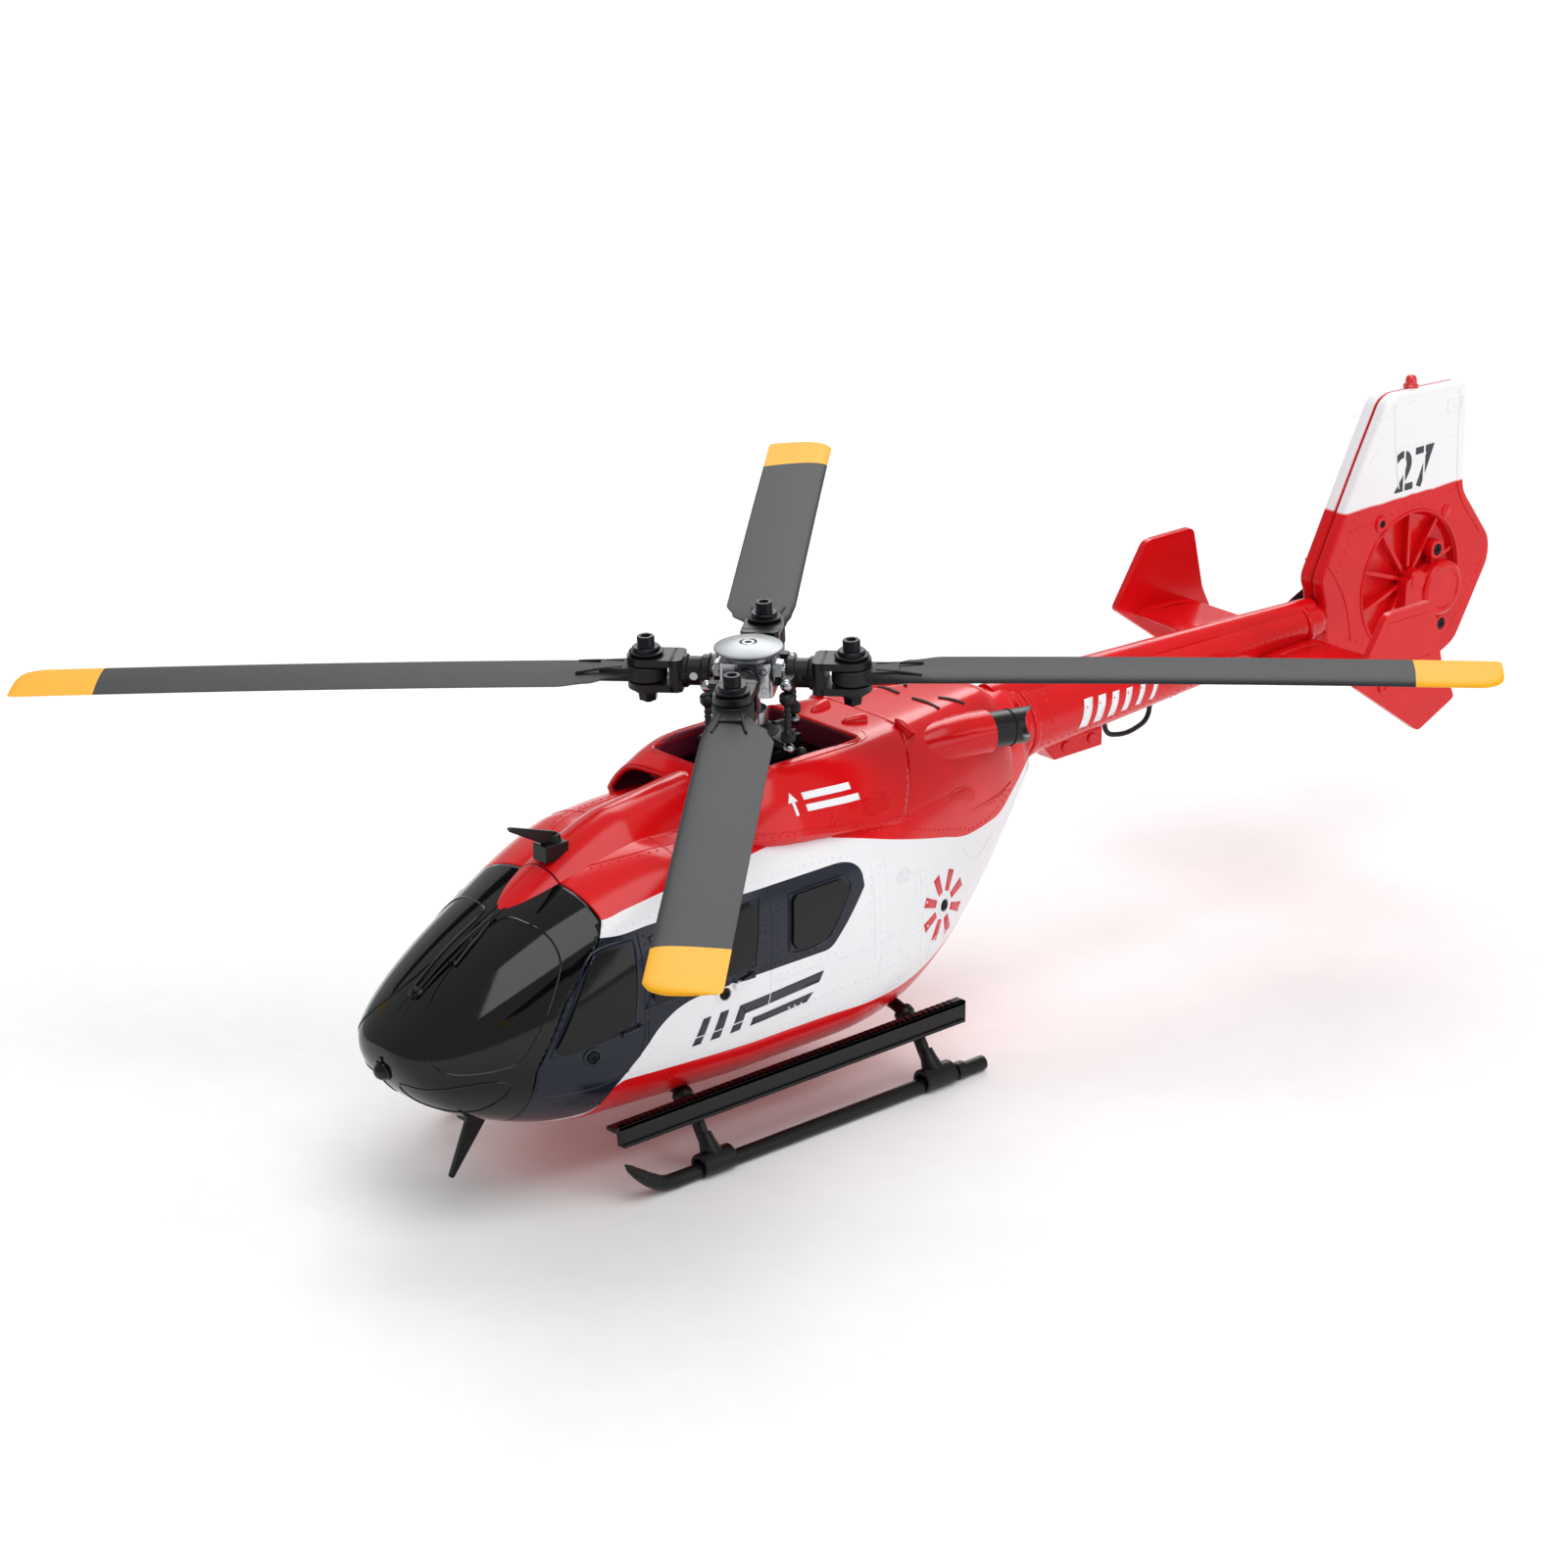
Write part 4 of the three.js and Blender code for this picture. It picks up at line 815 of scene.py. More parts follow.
marks = [(part, decalDark) for outline in stripes for part in stripParts(outline)]
for k in range(emblem["bars"]):
    a = 2 * math.pi * (k + 0.5) / emblem["bars"]
    out, across = Vector((math.cos(a), math.sin(a))), Vector((-math.sin(a), math.cos(a))) * emblem["wide"] / 2
    middle = Vector((emblem["y"], emblem["z"]))
    near, end = middle + out * emblem["inner"], middle + out * emblem["outer"]
    marks.append(([tuple(near - across * 0.7), tuple(end - across), tuple(end + across),
                   tuple(near + across * 0.7)], decalRed))
for k, (outline, colour) in enumerate(marks):
    for side, sideName in bothSides:
        skinPatch(podBody, outline, side, film["lift"], film["thick"], f"pod_decal_{k}_{sideName}",
                  "airframe", colour)
print("pod detail done")

# the cowl over the mast
cowl = {"front": -19.0, "rise": 13.0, "end": 61.5, "half": 26.4, "top": 74.5, "deck": 71.6, "soft": 0.9,
        "turnIn": 0.05, "tailRound": 5.0, "wall": 1.1, "seam": (20, 55.8, 0.584), "seamGap": 0.36,
        "well": ((-13, -14.5, 50), (13, 17.5, None)), "wellDepth": 5.5,
        "hem": [(-19, 60.9), (-16, 60.7), (-7, 59.9), (2.8, 58.5), (20.3, 55.7), (31.3, 52.2), (38.9, 50.2),
                (53.4, 49.4), (61.5, 50.7)]}


def between(table, v):
    # a value read off a table of (place, value) pairs
    for (a, p), (b, q) in zip(table, table[1:]):
        if v <= b:
            t = share(v, a, b)
            return p + (q - p) * t
    return table[-1][1]


def cowlPoint(u, w):
    c = cowl
    y = c["front"] + (c["end"] - c["front"]) * w
    tail = share(y, podShape["taperY"], podShape["endY"])
    rise = math.sin(math.pi / 2 * share(y, c["front"], c["front"] + c["rise"]))
    half = c["half"] - 1.6 * (1 - rise) - (c["half"] - podShape["neckR"]) * tail ** 1.6
    top = c["top"] - 4.2 * (1 - rise) - 4.5 * tail ** 2
    flat = c["deck"] - 3.6 * (1 - rise) - 1.8 * tail
    power = 2.75 - 0.55 * share(y, 5, 50)
    middle = podAt(y)[3]
    hem = (between(c["hem"], y) - middle) / (top - middle)
    start = math.asin(hem ** (power / 2))
    s = min(u, 1 - u) * 2
    side = 1 if u < 0.5 else -1
    a = start + (math.pi / 2 - start) * share(s, c["turnIn"], 1)
    x = side * half * powered(math.cos(a), 2 / power)
    z = middle + (top - middle) * powered(math.sin(a), 2 / power)
    z = -c["soft"] * math.log(math.exp(-(z - flat) / c["soft"]) + 1) + flat
    point = Vector((x, y, z))
    inward = 1 - share(s, 0, c["turnIn"])
    back = share(y, c["end"] - c["tailRound"], c["end"])
    pull = max(inward, 1 - math.sqrt(1 - back * back))
    if pull > 0:
        target, normal = seat(podSkin, point, -0.3)
        point = point.lerp(target, pull)
    return point


cowlBody = sheet(150, 110, cowlPoint)
faceUp(cowlBody)
cowlSkin = BVHTree.FromBMesh(cowlBody)


def cowlHalf(rear):
    bm = cowlBody.copy()
    y, z, lean = cowl["seam"]
    way = -1 if rear else 1
    cutPlane(bm, (0, y - way * cowl["seamGap"] / 2, z), (0, way, -way * lean), drop=True)
    if not rear:
        openBox(bm, *cowl["well"])
    name = "rear" if rear else "front"
    # the cowl's inside is plum red: painted shade
    piece = makePiece(bm, f"cowl_{name}", "airframe", [redLacquer, shadedRedInside], replaces=[f"{name}_cowl"])
    return addWall(piece, cowl["wall"], inner=1, rim=0)


cowlHalf(False)
cowlHalf(True)


def deckHeight(x, y):
    hit = cowlSkin.ray_cast(Vector((x, y, highZ)), down)[0]
    return hit.z if hit else cowl["deck"]


low, high = cowl["well"]
x0, x1, y0, y1 = low[0] + 0.1, high[0] - 0.1, low[1] + 0.1, high[1] - 0.1
wellLoop = roundedLoop([(x0, y0), (x1, y0), (x1, y1), (x0, y1)], 1.2, 4)


def wellPoint(u, w):
    walked = u * len(wellLoop)
    i = int(walked) % len(wellLoop)
    p = Vector(wellLoop[i]).lerp(Vector(wellLoop[(i + 1) % len(wellLoop)]), walked - int(walked))
    return Vector((p.x, p.y, deckHeight(p.x * 1.02, p.y) - 0.1 - cowl["wellDepth"] * w))


# the well's skirt is plum red: painted shade inside the well
bm = sheet(160, 6, wellPoint)
addWall(makePiece(bm, "well_skirt", "airframe", shadedRedInside), 0.8, offset=0)
bm = bmesh.new()
lip = [(p.x, p.y, deckHeight(p.x * 1.02, p.y)) for p in wellLoop[::2]]
addTube(bm, lip, 0.45, closed=True, smooth=False, sides=2)
makePiece(bm, "well_lip", "airframe", redLacquer)

# the roof ridge, a soft hump from the windshield back under the cowl
ridge = {"tip": -63.0, "end": -16.5, "half": 9.2, "split": -53.0}


def podTopZ(x, y):
    hit = podSkin.ray_cast(Vector((x, y, highZ)), down)[0]
    return hit.z if hit else podAt(y)[1]


def ridgePoint(u, w):
    y = ridge["tip"] + (ridge["end"] - ridge["tip"]) * w ** 1.5
    s = share(y, ridge["tip"], ridge["end"])
    half = ridge["half"] * swell(max(s, 0.0005), 6, 0.55) * (0.62 + 0.5 * s)
    across = 2 * u - 1
    height = (0.9 * swell(s, 6, 0.6) + 5.6 * s * swell(s, 3, 0.5)) * (1 - across ** 2) ** 1.15
    x = half * across
    return Vector((x, y, podTopZ(x, y) + height - 0.12 * abs(across) ** 6))


ridgeBody = sheet(44, 90, ridgePoint)
faceUp(ridgeBody)
ridgeSkin = BVHTree.FromBMesh(ridgeBody)
# the ridge's inside is plum red: painted shade
tipPart = ridgeBody.copy()
cutPlane(tipPart, (0, ridge["split"], 0), (0, 1, 0), drop=True)
addWall(makePiece(tipPart, "ridge_point", "canopy", [redLacquer, shadedRedInside], replaces=["ridge_tip"]),
        0.5, inner=1)
cutPlane(ridgeBody, (0, ridge["split"] + 0.3, 0), (0, -1, 0), drop=True)
addWall(makePiece(ridgeBody, "roof_ridge", "airframe", [redLacquer, shadedRedInside]), 0.9, inner=1)

# panel lines, rivets, vents and scoops of the cowl and roof
cowlVent = {"inset": 0.7, "corners": 12, "rim": 0.16, "rimStep": 0.6, "slat": 0.17,
            "spots": (-1, -0.5, 0, 0.5, 1)}
cowlVents = [cowlVent | {"y": 12.8, "z": 61.1, "wide": 9.2, "tall": 4.0, "slats": 6, "pitch": 0.5425},
             cowlVent | {"y": 38.2, "z": 54.2, "wide": 11.6, "tall": 4.8, "slats": 7, "pitch": 0.585}]
roofLines = [[(6.8, -47, 60), (10.9, -39.4, 61), (12.6, -33.3, 62), (13, -29.4, 62), (13.4, -21, 62)],
             [(7.6, -33.3, 63), (12.4, -33.3, 62), (19, -33.6, 58.2)]]
cowlMarks = [(1.3, 60.3), (27.7, 54.8)]
cowlScoops = [(5.5, 24.6, 4.6, 2.6, 1.5), (15.3, 30, 4.2, 2.4, 1.3)]  # x, y, length, width, height
deckLine = [(13.9, -12.5, 72), (14.6, -4, 72), (14.6, 8, 72), (13.6, 18, 72), (10, 20.6, 72)]


for side, sideName in bothSides:
    bm, rivets = bmesh.new(), bmesh.new()

    def onCowl(y, z):
        hit = cowlSkin.ray_cast(Vector((side * 60, y, z)), Vector((-side, 0, 0)))[0]
        return hit or Vector((side * 20, y, z))

    for vent in cowlVents:
        addOvalVent(bm, cowlSkin, vent, onCowl)
    addBead(bm, cowlSkin, [onCowl(y, between(cowl["hem"], y) + 1.2) for y in range(-17, 60, 4)], 0.17,
            closed=False)
    for y, z in cowlMarks:
        addBead(bm, cowlSkin, [onCowl(y + a, z + b)
                               for a, b in ((-1.1, -1.3), (-1.1, 1), (0.9, 1.3), (0.9, -1.2))], 0.13)
        turnedShape(bm, [(0.42, -0.1), (0.4, 0.16), (0, 0.2)], facing(*seat(cowlSkin, onCowl(y - 0.1, z))),
                    10)
    addBead(bm, cowlSkin, [(side * x, y, z) for x, y, z in deckLine], 0.16, closed=False)
    addRivets(rivets, cowlSkin, [onCowl(y, between(cowl["hem"], y) + 0.55) for y in range(-17, 60, 3)], 1.7)
    for x, y, long, wide, tall in cowlScoops:
        foot, normal = seat(cowlSkin, (side * x, y, 71), -0.1)
        scoop = bmesh.new()
        bmesh.ops.create_uvsphere(scoop, u_segments=28, v_segments=16, radius=1)
        cutPlane(scoop, (0, -0.15, 0), (0, -1, 0), drop=True)
        rim = bmesh.ops.holes_fill(scoop, edges=[e for e in scoop.edges if e.is_boundary])["faces"]
        bmesh.ops.inset_region(scoop, faces=rim, thickness=0.14, depth=-0.3)
        bmesh.ops.transform(scoop, matrix=Matrix.Diagonal((wide / 2, long, tall, 1)), verts=scoop.verts)
        addFrom(bm, scoop, facing(foot, normal))
    for line in roofLines:
        addBead(bm, podSkin, [(side * x, y, z) for x, y, z in line], 0.15, closed=False, step=1.6)
    addRivets(rivets, podSkin, [(side * x + side * 1.1, y, z) for x, y, z in roofLines[0]], 1.9)
    makePiece(bm, f"cowl_lines_{sideName}", "airframe", redLacquer)
    makePiece(rivets, f"cowl_rivets_{sideName}", "airframe", redLacquer, sharp=80)

# near-black tubes laid on the rear deck stand for slots: their black is painted shade in the openings
bm = bmesh.new()
deckSlots = [((side * x0, y0), (side * x1, y1)) for side, sideName in bothSides
             for x0, y0, x1, y1 in ((2.1, 41.7, 8.9, 42.7), (4.7, 46.2, 9.1, 50.3))]
for a, b in deckSlots:
    middle = ((a[0] + b[0]) / 2, (a[1] + b[1]) / 2)
    ends = [seat(cowlSkin, (x, y, 70.5), 0.02)[0] for x, y in (a, middle, b)]
    addTube(bm, ends, 0.42, sides=2)
makePiece(bm, "deck_slot_shade", "airframe", innerBlack)

# decals on the cowl: an arrow and two bars
cowlDecals = [[(-7.6, 63.7), (-7.6, 66.2), (-6.9, 66.2), (-6.9, 63.7)],
              [(-8.4, 66.0), (-7.25, 67.6), (-6.1, 66.0)],
              [(-4.6, 65.9), (-4.6, 67.1), (7.4, 66.4), (7.4, 65.2)],
              [(-4.6, 63.9), (-4.6, 65.1), (8.8, 64.2), (8.8, 63.0)]]
for k, outline in enumerate(cowlDecals):
    for side, sideName in bothSides:
        skinPatch(cowlBody, outline, side, film["lift"], film["thick"], f"cowl_decal_{k}_{sideName}",
                  "airframe", decalWhite)

# exhausts: thin tubes cut off at a slant
exhaust = {"x": 13.6, "y": 45.5, "z": 65.2, "r": 3.6, "wall": 0.8, "length": 15.5, "splay": 3.2, "drop": 0.6,
           "mouth": (0.86, 0.51), "mouthIn": 6.5,
           "swell": [((10.6, 27, 63.2), 2.4), ((12.0, 33, 64.4), 3.6), ((13.0, 39, 64.9), 4.3),
                     ((13.9, 45, 65.1), 4.5), ((14.6, 49.6, 65.0), 4.45)]}
for side, sideName in bothSides:
    e = exhaust
    start = Vector((side * e["x"], e["y"], e["z"]))
    end = Vector((side * (e["x"] + e["splay"]), e["y"] + e["length"], e["z"] - e["drop"]))
    bm = bmesh.new()
    place = facing((start + end) / 2, end - start)
    bmesh.ops.create_cone(bm, cap_ends=False, segments=56, radius1=e["r"], radius2=e["r"],
                          depth=(end - start).length, matrix=place)
    cutPlane(bm, (side * (e["x"] + e["splay"] + e["r"] - 0.5), e["y"] + e["length"] - e["mouthIn"], e["z"]),
             (side * e["mouth"][0], e["mouth"][1], 0), drop=True)
    piece = makePiece(bm, f"exhaust_tube_{sideName}", "airframe", [satinBlack, innerBlack],
                      replaces=[f"exhaust_{sideName}"])
    addBevel(addWall(piece, e["wall"]), 0.2, 2, 50)
    bm = bmesh.new()
    rodBetween(bm, start.lerp(end, 0.1), start.lerp(end, 0.2), e["r"] - 0.6, sides=40)
    ring = [start.lerp(end, 0.62) + place.to_3x3() @ Vector((a, b, 0))
            for a, b in circleLoop(0, 0, e["r"], 36)]
    addTube(bm, ring, 0.22, closed=True, smooth=False, sides=1)
    makePiece(bm, f"exhaust_ring_{sideName}", "airframe", satinBlack)
    # the cowl swells round the tube and ends in a flat notch
    bm = bmesh.new()
    addTube(bm, [Vector((side * x, y, z)) for (x, y, z), r in e["swell"]], 1, sides=10,
            radii=[r for p, r in e["swell"]])
    makePiece(bm, f"exhaust_fairing_{sideName}", "airframe", redLacquer)

# wire cutters
cutter = {"y": -50.0, "thick": 1.0}
z = podAt(cutter["y"])[1] + 3.6
low = ridgeSkin.ray_cast(Vector((0, cutter["y"], highZ)), down)[0].z
bm = plateMesh([[(-51.6, z + 0.9), (-60, z + 5.6), (-60.4, z + 6.3), (-59.8, z + 6.5), (-49, z + 3),
                 (-47.9, z + 0.9)]],
               -cutter["thick"] / 2, cutter["thick"] / 2)
addBoxes(bm, ((-2, -53, low - 0.6), (2, -47.4, z + 1.2)))
rodBetween(bm, (0, -49.4, z + 1), (0, -49.4, z + 2.6), 1.5, 1.2, sides=24)
addBevel(makePiece(bm, "cutter_top", "airframe", satinBlack, replaces=["upper_wire_cutter"]), 0.22)
z = podAt(-71)[2] - 0.3
bm = plateMesh([[(-71.4, z + 0.4), (-76.2, 2.8), (-76.2, 2.3), (-75.6, 2.2), (-67.2, z - 1.6),
                 (-66.9, z + 0.2)]], -0.6, 0.6)
addBoxes(bm, ((-1.6, -73, z - 0.9), (1.6, -66.4, z + 1.2)))
addBevel(makePiece(bm, "cutter_chin", "canopy", satinBlack, replaces=["lower_wire_cutter"]), 0.25)
print("cowl done")

# tail boom
boom = {"y0": 61.0, "y1": 164.0, "r0": 8.36, "r1": 3.96, "z0": 57.77, "z1": 59.21, "sides": 72, "rings": 60,
        "spine": [(64, 3.3), (70, 3.7), (100, 3.4), (140, 2.8), (156, 2.5), (161.5, 2.2)], "spineRise": 0.5}


def boomAt(y):
    t = (y - boom["y0"]) / (boom["y1"] - boom["y0"])
    return boom["r0"] + (boom["r1"] - boom["r0"]) * t, boom["z0"] + (boom["z1"] - boom["z0"]) * t


def boomPoint(u, w):
    y = boom["y0"] + (boom["y1"] - boom["y0"]) * w
    r, z = boomAt(y)
    a = 2 * math.pi * u
    return Vector((r * math.cos(a), y, z + r * math.sin(a)))


def boomSide(y, drop, side=1):
    # a point on the boom's skin, drop millimetres below its axis
    r, z = boomAt(y)
    return Vector((side * math.sqrt(max(r * r - drop * drop, 0.01)), y, z - drop))


boomBody = sheet(boom["sides"], boom["rings"], boomPoint)
boomSkin = BVHTree.FromBMesh(boomBody)
addWall(makePiece(boomBody.copy(), "boom_tube", "airframe", [redLacquer, innerBlack], replaces=["tail_boom"]), 0.9, inner=1)
bm = bmesh.new()
line = [Vector((0, y, boomAt(y)[1] + boomAt(y)[0] - r * boom["spineRise"])) for y, r in boom["spine"]]
addTube(bm, line, 1, sides=8, radii=[r for y, r in boom["spine"]])
addBall(bm, line[-1], boom["spine"][-1][1], 28, 16)
for y, grow in ((68.6, 0.5), (71.5, 0.3), (158.5, 0.45)):
    r, z = boomAt(y)
    turnedShape(bm, [(r - 0.4, -0.9), (r + grow - 0.1, -0.8), (r + grow, -0.6), (r + grow, 0.6),
                     (r + grow - 0.1, 0.8), (r - 0.4, 0.9)], turnedTo("X", (0, y, z)), 64)
makePiece(bm, "boom_spine", "airframe", redLacquer)

bm = bmesh.new()
for side in (1, -1):
    for drop in (-1.2, 4.0):
        addRivets(bm, boomSkin, [boomSide(74, drop, side), boomSide(115, drop * 0.8, side),
                                 boomSide(156, drop * 0.6, side)],
                  2.1, 0.3, 0.18)
for y in (76, 116, 136):
    r, z = boomAt(y)
    addRivets(bm, boomSkin, [(r * math.cos(a), y, z + r * math.sin(a))
                             for a in [k * math.pi / 12 - 2.6 for k in range(26)]],
              1.6, 0.28, 0.18)
makePiece(bm, "boom_rivets", "airframe", redLacquer, sharp=80)

# slanted white bars along the boom's sides
bars = {"start": 84.5, "pitch": 4.3, "wide": 2.6, "count": 6, "low": 3.1, "tall": 6.0, "lean": 1.4}
for side, sideName in bothSides:
    for k in range(bars["count"]):
        y = bars["start"] + k * bars["pitch"]
        z = boomAt(y)[1] - bars["low"] + k * 0.12
        h, lean = bars["tall"] * (1 - 0.07 * k), bars["lean"]
        wide = bars["wide"] * (1 - 0.1 * k)
        skinPatch(boomBody, [(y, z), (y + lean, z + h), (y + lean + wide, z + h), (y + wide, z)], side, 0.05,
                  0.03, f"boom_bar_{k}_{sideName}", "airframe", decalWhite)

# block and rail under the boom
bm = bmesh.new()
low, high = cadSpan("boom_clamp")
addBoxes(bm, (low, high))
cutPlane(bm, (0, low.y, low.z + 3.4), (0, -1, -0.9), drop=True)
bmesh.ops.holes_fill(bm, edges=[e for e in bm.edges if e.is_boundary])
for y in (low.y + 6, high.y - 3.4):
    rodBetween(bm, (-3.05, y, low.z + 2.4), (3.05, y, low.z + 2.4), 1.15, sides=24)
bmesh.ops.recalc_face_normals(bm, faces=bm.faces)
addBevel(makePiece(bm, "boom_block", "airframe", redLacquer, replaces=["boom_clamp"]), 0.35)
y0, y1 = 99.0, 113.0
z0 = boomAt(y0)[1] - boomAt(y0)[0] - 0.2
bm = bmesh.new()
addTube(bm, [(0, y0, z0 + 0.2), (0, y0 + 0.9, z0 - 2.5), (0, y0 + 3, z0 - 3.7), (0, y1 - 3, z0 - 3.5),
             (0, y1 - 1, z0 - 2.3), (0, y1, z0 + 1)], 0.55, sides=5)
for y, z in ((y0 - 0.1, z0 + 0.1), (y1, z0 + 0.9)):
    turnedShape(bm, [(1.1, -0.9), (1.1, 0.1), (0.85, 0.35), (0, 0.4)], facing((0, y, z - 0.1), (0, 0, -1)),
                20)
makePiece(bm, "boom_rail", "airframe", satinBlack, replaces=["handle_rail"])

# tail fin: two shells with a dished duct
fin = {"half": 3.2, "gap": 0.12, "ductY": 191.3, "ductZ": 62.5, "ductR": 15.2, "vanes": 10,
       "outline": [(164.5, 52.6), (163.3, 64.2), (161.6, 68.5), (174.7, 92.8), (181.3, 104.6), (184, 106),
                   (206.5, 104.9), (208, 103.5), (208.4, 80), (217.9, 67.6), (218.5, 64.5), (218, 61.3),
                   (208, 45), (203, 42.8), (196, 42.4), (188, 43.6), (176, 48.4)],
       "white": "#f1f1f3", "red": "#db0f15", "lineZ": 82.4, "fade": 0.5, "waver": 0.7}


def finMaterial():
    # white sprayed over red-moulded ABS, with a slightly soft edge where the mask ended
    material, tree, shader, place = startMaterial("masked fin lacquer", fin["red"], 0.24, coat=0.04,
                                                  specular=0.26)
    addGrain(tree, shader, place, 1.0, 0.008, 0.22, 0.3)
    noise = addNode(tree, "ShaderNodeTexNoise", {"Scale": 260.0, "Detail": 3.0}, {"Vector": place})
    xyz = addNode(tree, "ShaderNodeSeparateXYZ", None, {"Vector": place})
    wavy = addNode(tree, "ShaderNodeMath", {"operation": "MULTIPLY_ADD", 1: fin["waver"] / 1000},
                   {0: noise.outputs["Fac"], 2: xyz.outputs["Z"]}).outputs[0]
    low = (fin["lineZ"] + fin["waver"] / 2) / 1000
    edge = addNode(tree, "ShaderNodeMapRange",
                   {"From Min": low - fin["fade"] / 2000, "From Max": low + fin["fade"] / 2000},
                   {"Value": wavy})
    base = mottle(tree, shader, place, "#cb0a10", fin["red"], 10)
    overpaint(tree, shader, base, edge.outputs["Result"], fin["white"])
    return material


finPaint = finMaterial()
finLoop = roundedLoop(fin["outline"], 2.2, 4)
ductLoop = circleLoop(fin["ductY"], fin["ductZ"], fin["ductR"], 72)
for side, sideName in bothSides:
    x0, x1 = sorted((side * fin["gap"], side * fin["half"]))
    bm = plateMesh([finLoop, ductLoop], x0, x1)
    piece = makePiece(bm, f"fin_shell_{sideName}", "airframe", finPaint, replaces=[f"fin_{sideName}"])
    addBevel(piece, 0.95, 4, 45)

bm = bmesh.new()
c = (fin["ductY"], fin["ductZ"])
toSide = turnedTo("Y", (0, *c))
# the dish between the shells, seen from both sides
turnedShape(bm, [(0, 0.8), (13.2, 0.8), (14.6, 1.3), (15.3, 2.4), (15.5, 2.4), (15.5, -2.2), (15.2, -2.2),
                 (14.7, -1.5), (13.6, -1.1), (4, -1.1), (3.7, -1.7), (2.4, -1.9), (0, -1.9)], toSide, 72)
for k in range(fin["vanes"]):
    a = 2 * math.pi * k / fin["vanes"] + 0.3
    vane = bmesh.new()
    addBoxes(vane, ((0.6, 3, -0.45), (2.55, fin["ductR"] + 0.1, 0.45)))
    addFrom(bm, vane, turnedTo("X", (0, *c), a))
addBevel(makePiece(bm, "duct_dish", "airframe", redLacquer), 0.14)

# tail motor, its cover and arms
motor = {"y": 200.5, "z": 59.3, "ears": [(199.2, 68.2), (201.6, 50.6)]}
bm = bmesh.new()
boss = turnedTo("Y", (0, motor["y"], motor["z"]))
turnedShape(bm, [(5.1, 1.8), (6.3, 1.8), (6.3, 4.6), (6.1, 5.2), (5.5, 5.6), (4.6, 5.6), (4.4, 5.3),
                 (0, 5.3)], boss, 64)
plate = plateMesh([roundedLoop([(188.5, 56.2), (188.5, 63.4), (200.5, 64.4), (200.5, 54.2)], 1.6)], 1.8, 4.7)
addFrom(bm, plate)
for y, z in motor["ears"]:
    ear = turnedTo("Y", (0, y, z))
    turnedShape(bm, [(1.3, 1.8), (2.25, 1.8), (2.25, 4.05), (2.05, 4.25), (1.3, 4.25), (1.25, 3.6), (0, 3.6)],
                ear, 32)
    across = Vector((motor["y"] - y, motor["z"] - z)).normalized()
    a, b = Vector((-across.y, across.x)) * 1.6, Vector((y, z)) + across * 1.6
    end = Vector((motor["y"], motor["z"])) - across * 4
    addFrom(bm, plateMesh([[b + a, end + a, end - a, b - a]], 1.8, 3.7))
turnedShape(bm, [(2.6, 0.9), (2.6, 4.4), (2.2, 4.9), (0, 4.9)], toSide @ Matrix.Translation((0, 1.2, 0)), 36)
addBevel(makePiece(bm, "motor_cap", "airframe", redLacquer, replaces=["tail_motor_cover"]),
         0.22)
bm = bmesh.new()
for y, z in motor["ears"]:
    addScrew(bm, Vector((3.75, y, z)), Vector((1, 0, 0)), 1.15)
addScrew(bm, Vector((3.2, 180.9, 77.7)), Vector((1, 0, 0)), 0.9)
makePiece(bm, "tail_screws", "airframe", blackenedSteel)
bm = bmesh.new()
turnedShape(bm, [(0, 1.9), (4.4, 1.9), (4.8, 2.2), (4.8, 4.0), (4.4, 4.3), (0, 4.3)], boss, 40)
makePiece(bm, "tail_motor_can", "airframe", motorCan, replaces=["tail_motor"])

# raised work on the fin: rim, parting line, screw bosses, rivets, badge
bm, rivets = bmesh.new(), bmesh.new()
for side in (1, -1):
    x = side * fin["half"]
    rim = [(x, *p) for p in circleLoop(*c, fin["ductR"] + 0.7, 60)]
    addTube(bm, rim, 0.35, closed=True, smooth=False, sides=2)
    for points in ([(164, 72), (168, 66.5), (171, 60), (172.5, 53)],
                   [(183.5, 104), (185.2, 90), (186.2, 84.6)],
                   [(205.4, 103.6), (205.8, 84), (206.4, 80.4), (214.4, 69)]):
        addTube(bm, [Vector((x, *p)) for p in points], 0.22, sides=1)
    turnedShape(bm, [(2.0, -0.5), (1.9, 0.25), (1.6, 0.5), (0.9, 0.5), (0.8, 0.1), (0, 0)],
                facing((x, 180.9, 77.7), (side, 0, 0)), 28)
    turnedShape(bm, [(1.5, -0.5), (1.4, 0.2), (1.1, 0.4), (0, 0.45)], facing((x, 202.5, 76.2), (side, 0, 0)),
                24)
    badge = roundedLoop([(201.4, 98.6), (201.4, 102.2), (206.2, 102), (206.2, 98.5)], 1.0, 3)
    addTube(bm, [Vector((x, *p)) for p in badge], 0.2, closed=True, smooth=False, sides=1)
    turnedShape(bm, [(0.7, -0.3), (0.65, 0.15), (0, 0.2)], facing((x, 203.8, 100.3), (side, 0, 0)), 16)
    for row in ([(184.6, 93.8), (205, 93.2)], [(170, 78.2), (205.5, 80.6)], [(176.6, 92.6), (184.2, 103.4)],
                [(167.2, 70), (178, 89)], [(171.5, 53.5), (188, 46.2)], [(206, 48.6), (215.4, 62)],
                [(178, 101), (190, 103.6)]):
        walked = smoothPath([(x, *p) for p in row], 1.9, False)
        for p in walked:
            if (Vector((p.y, p.z)) - Vector(c)).length > fin["ductR"] + 1.6:
                bmesh.ops.create_cone(rivets, cap_ends=True, segments=7, radius1=0.32, radius2=0.14,
                                      depth=0.22, matrix=facing(p + Vector((side * 0.06, 0, 0)),
                                                                (side, 0, 0)))
makePiece(bm, "fin_lines", "airframe", finPaint)
makePiece(rivets, "fin_rivets", "airframe", finPaint, sharp=80)
# the red parting line shows between the two white shells
inset = [Vector((191, 78)) + (Vector(p) - Vector((191, 78))) * 0.992 for p in finLoop]
makePiece(plateMesh([inset], -0.14, 0.14), "fin_core", "airframe", redLacquer)

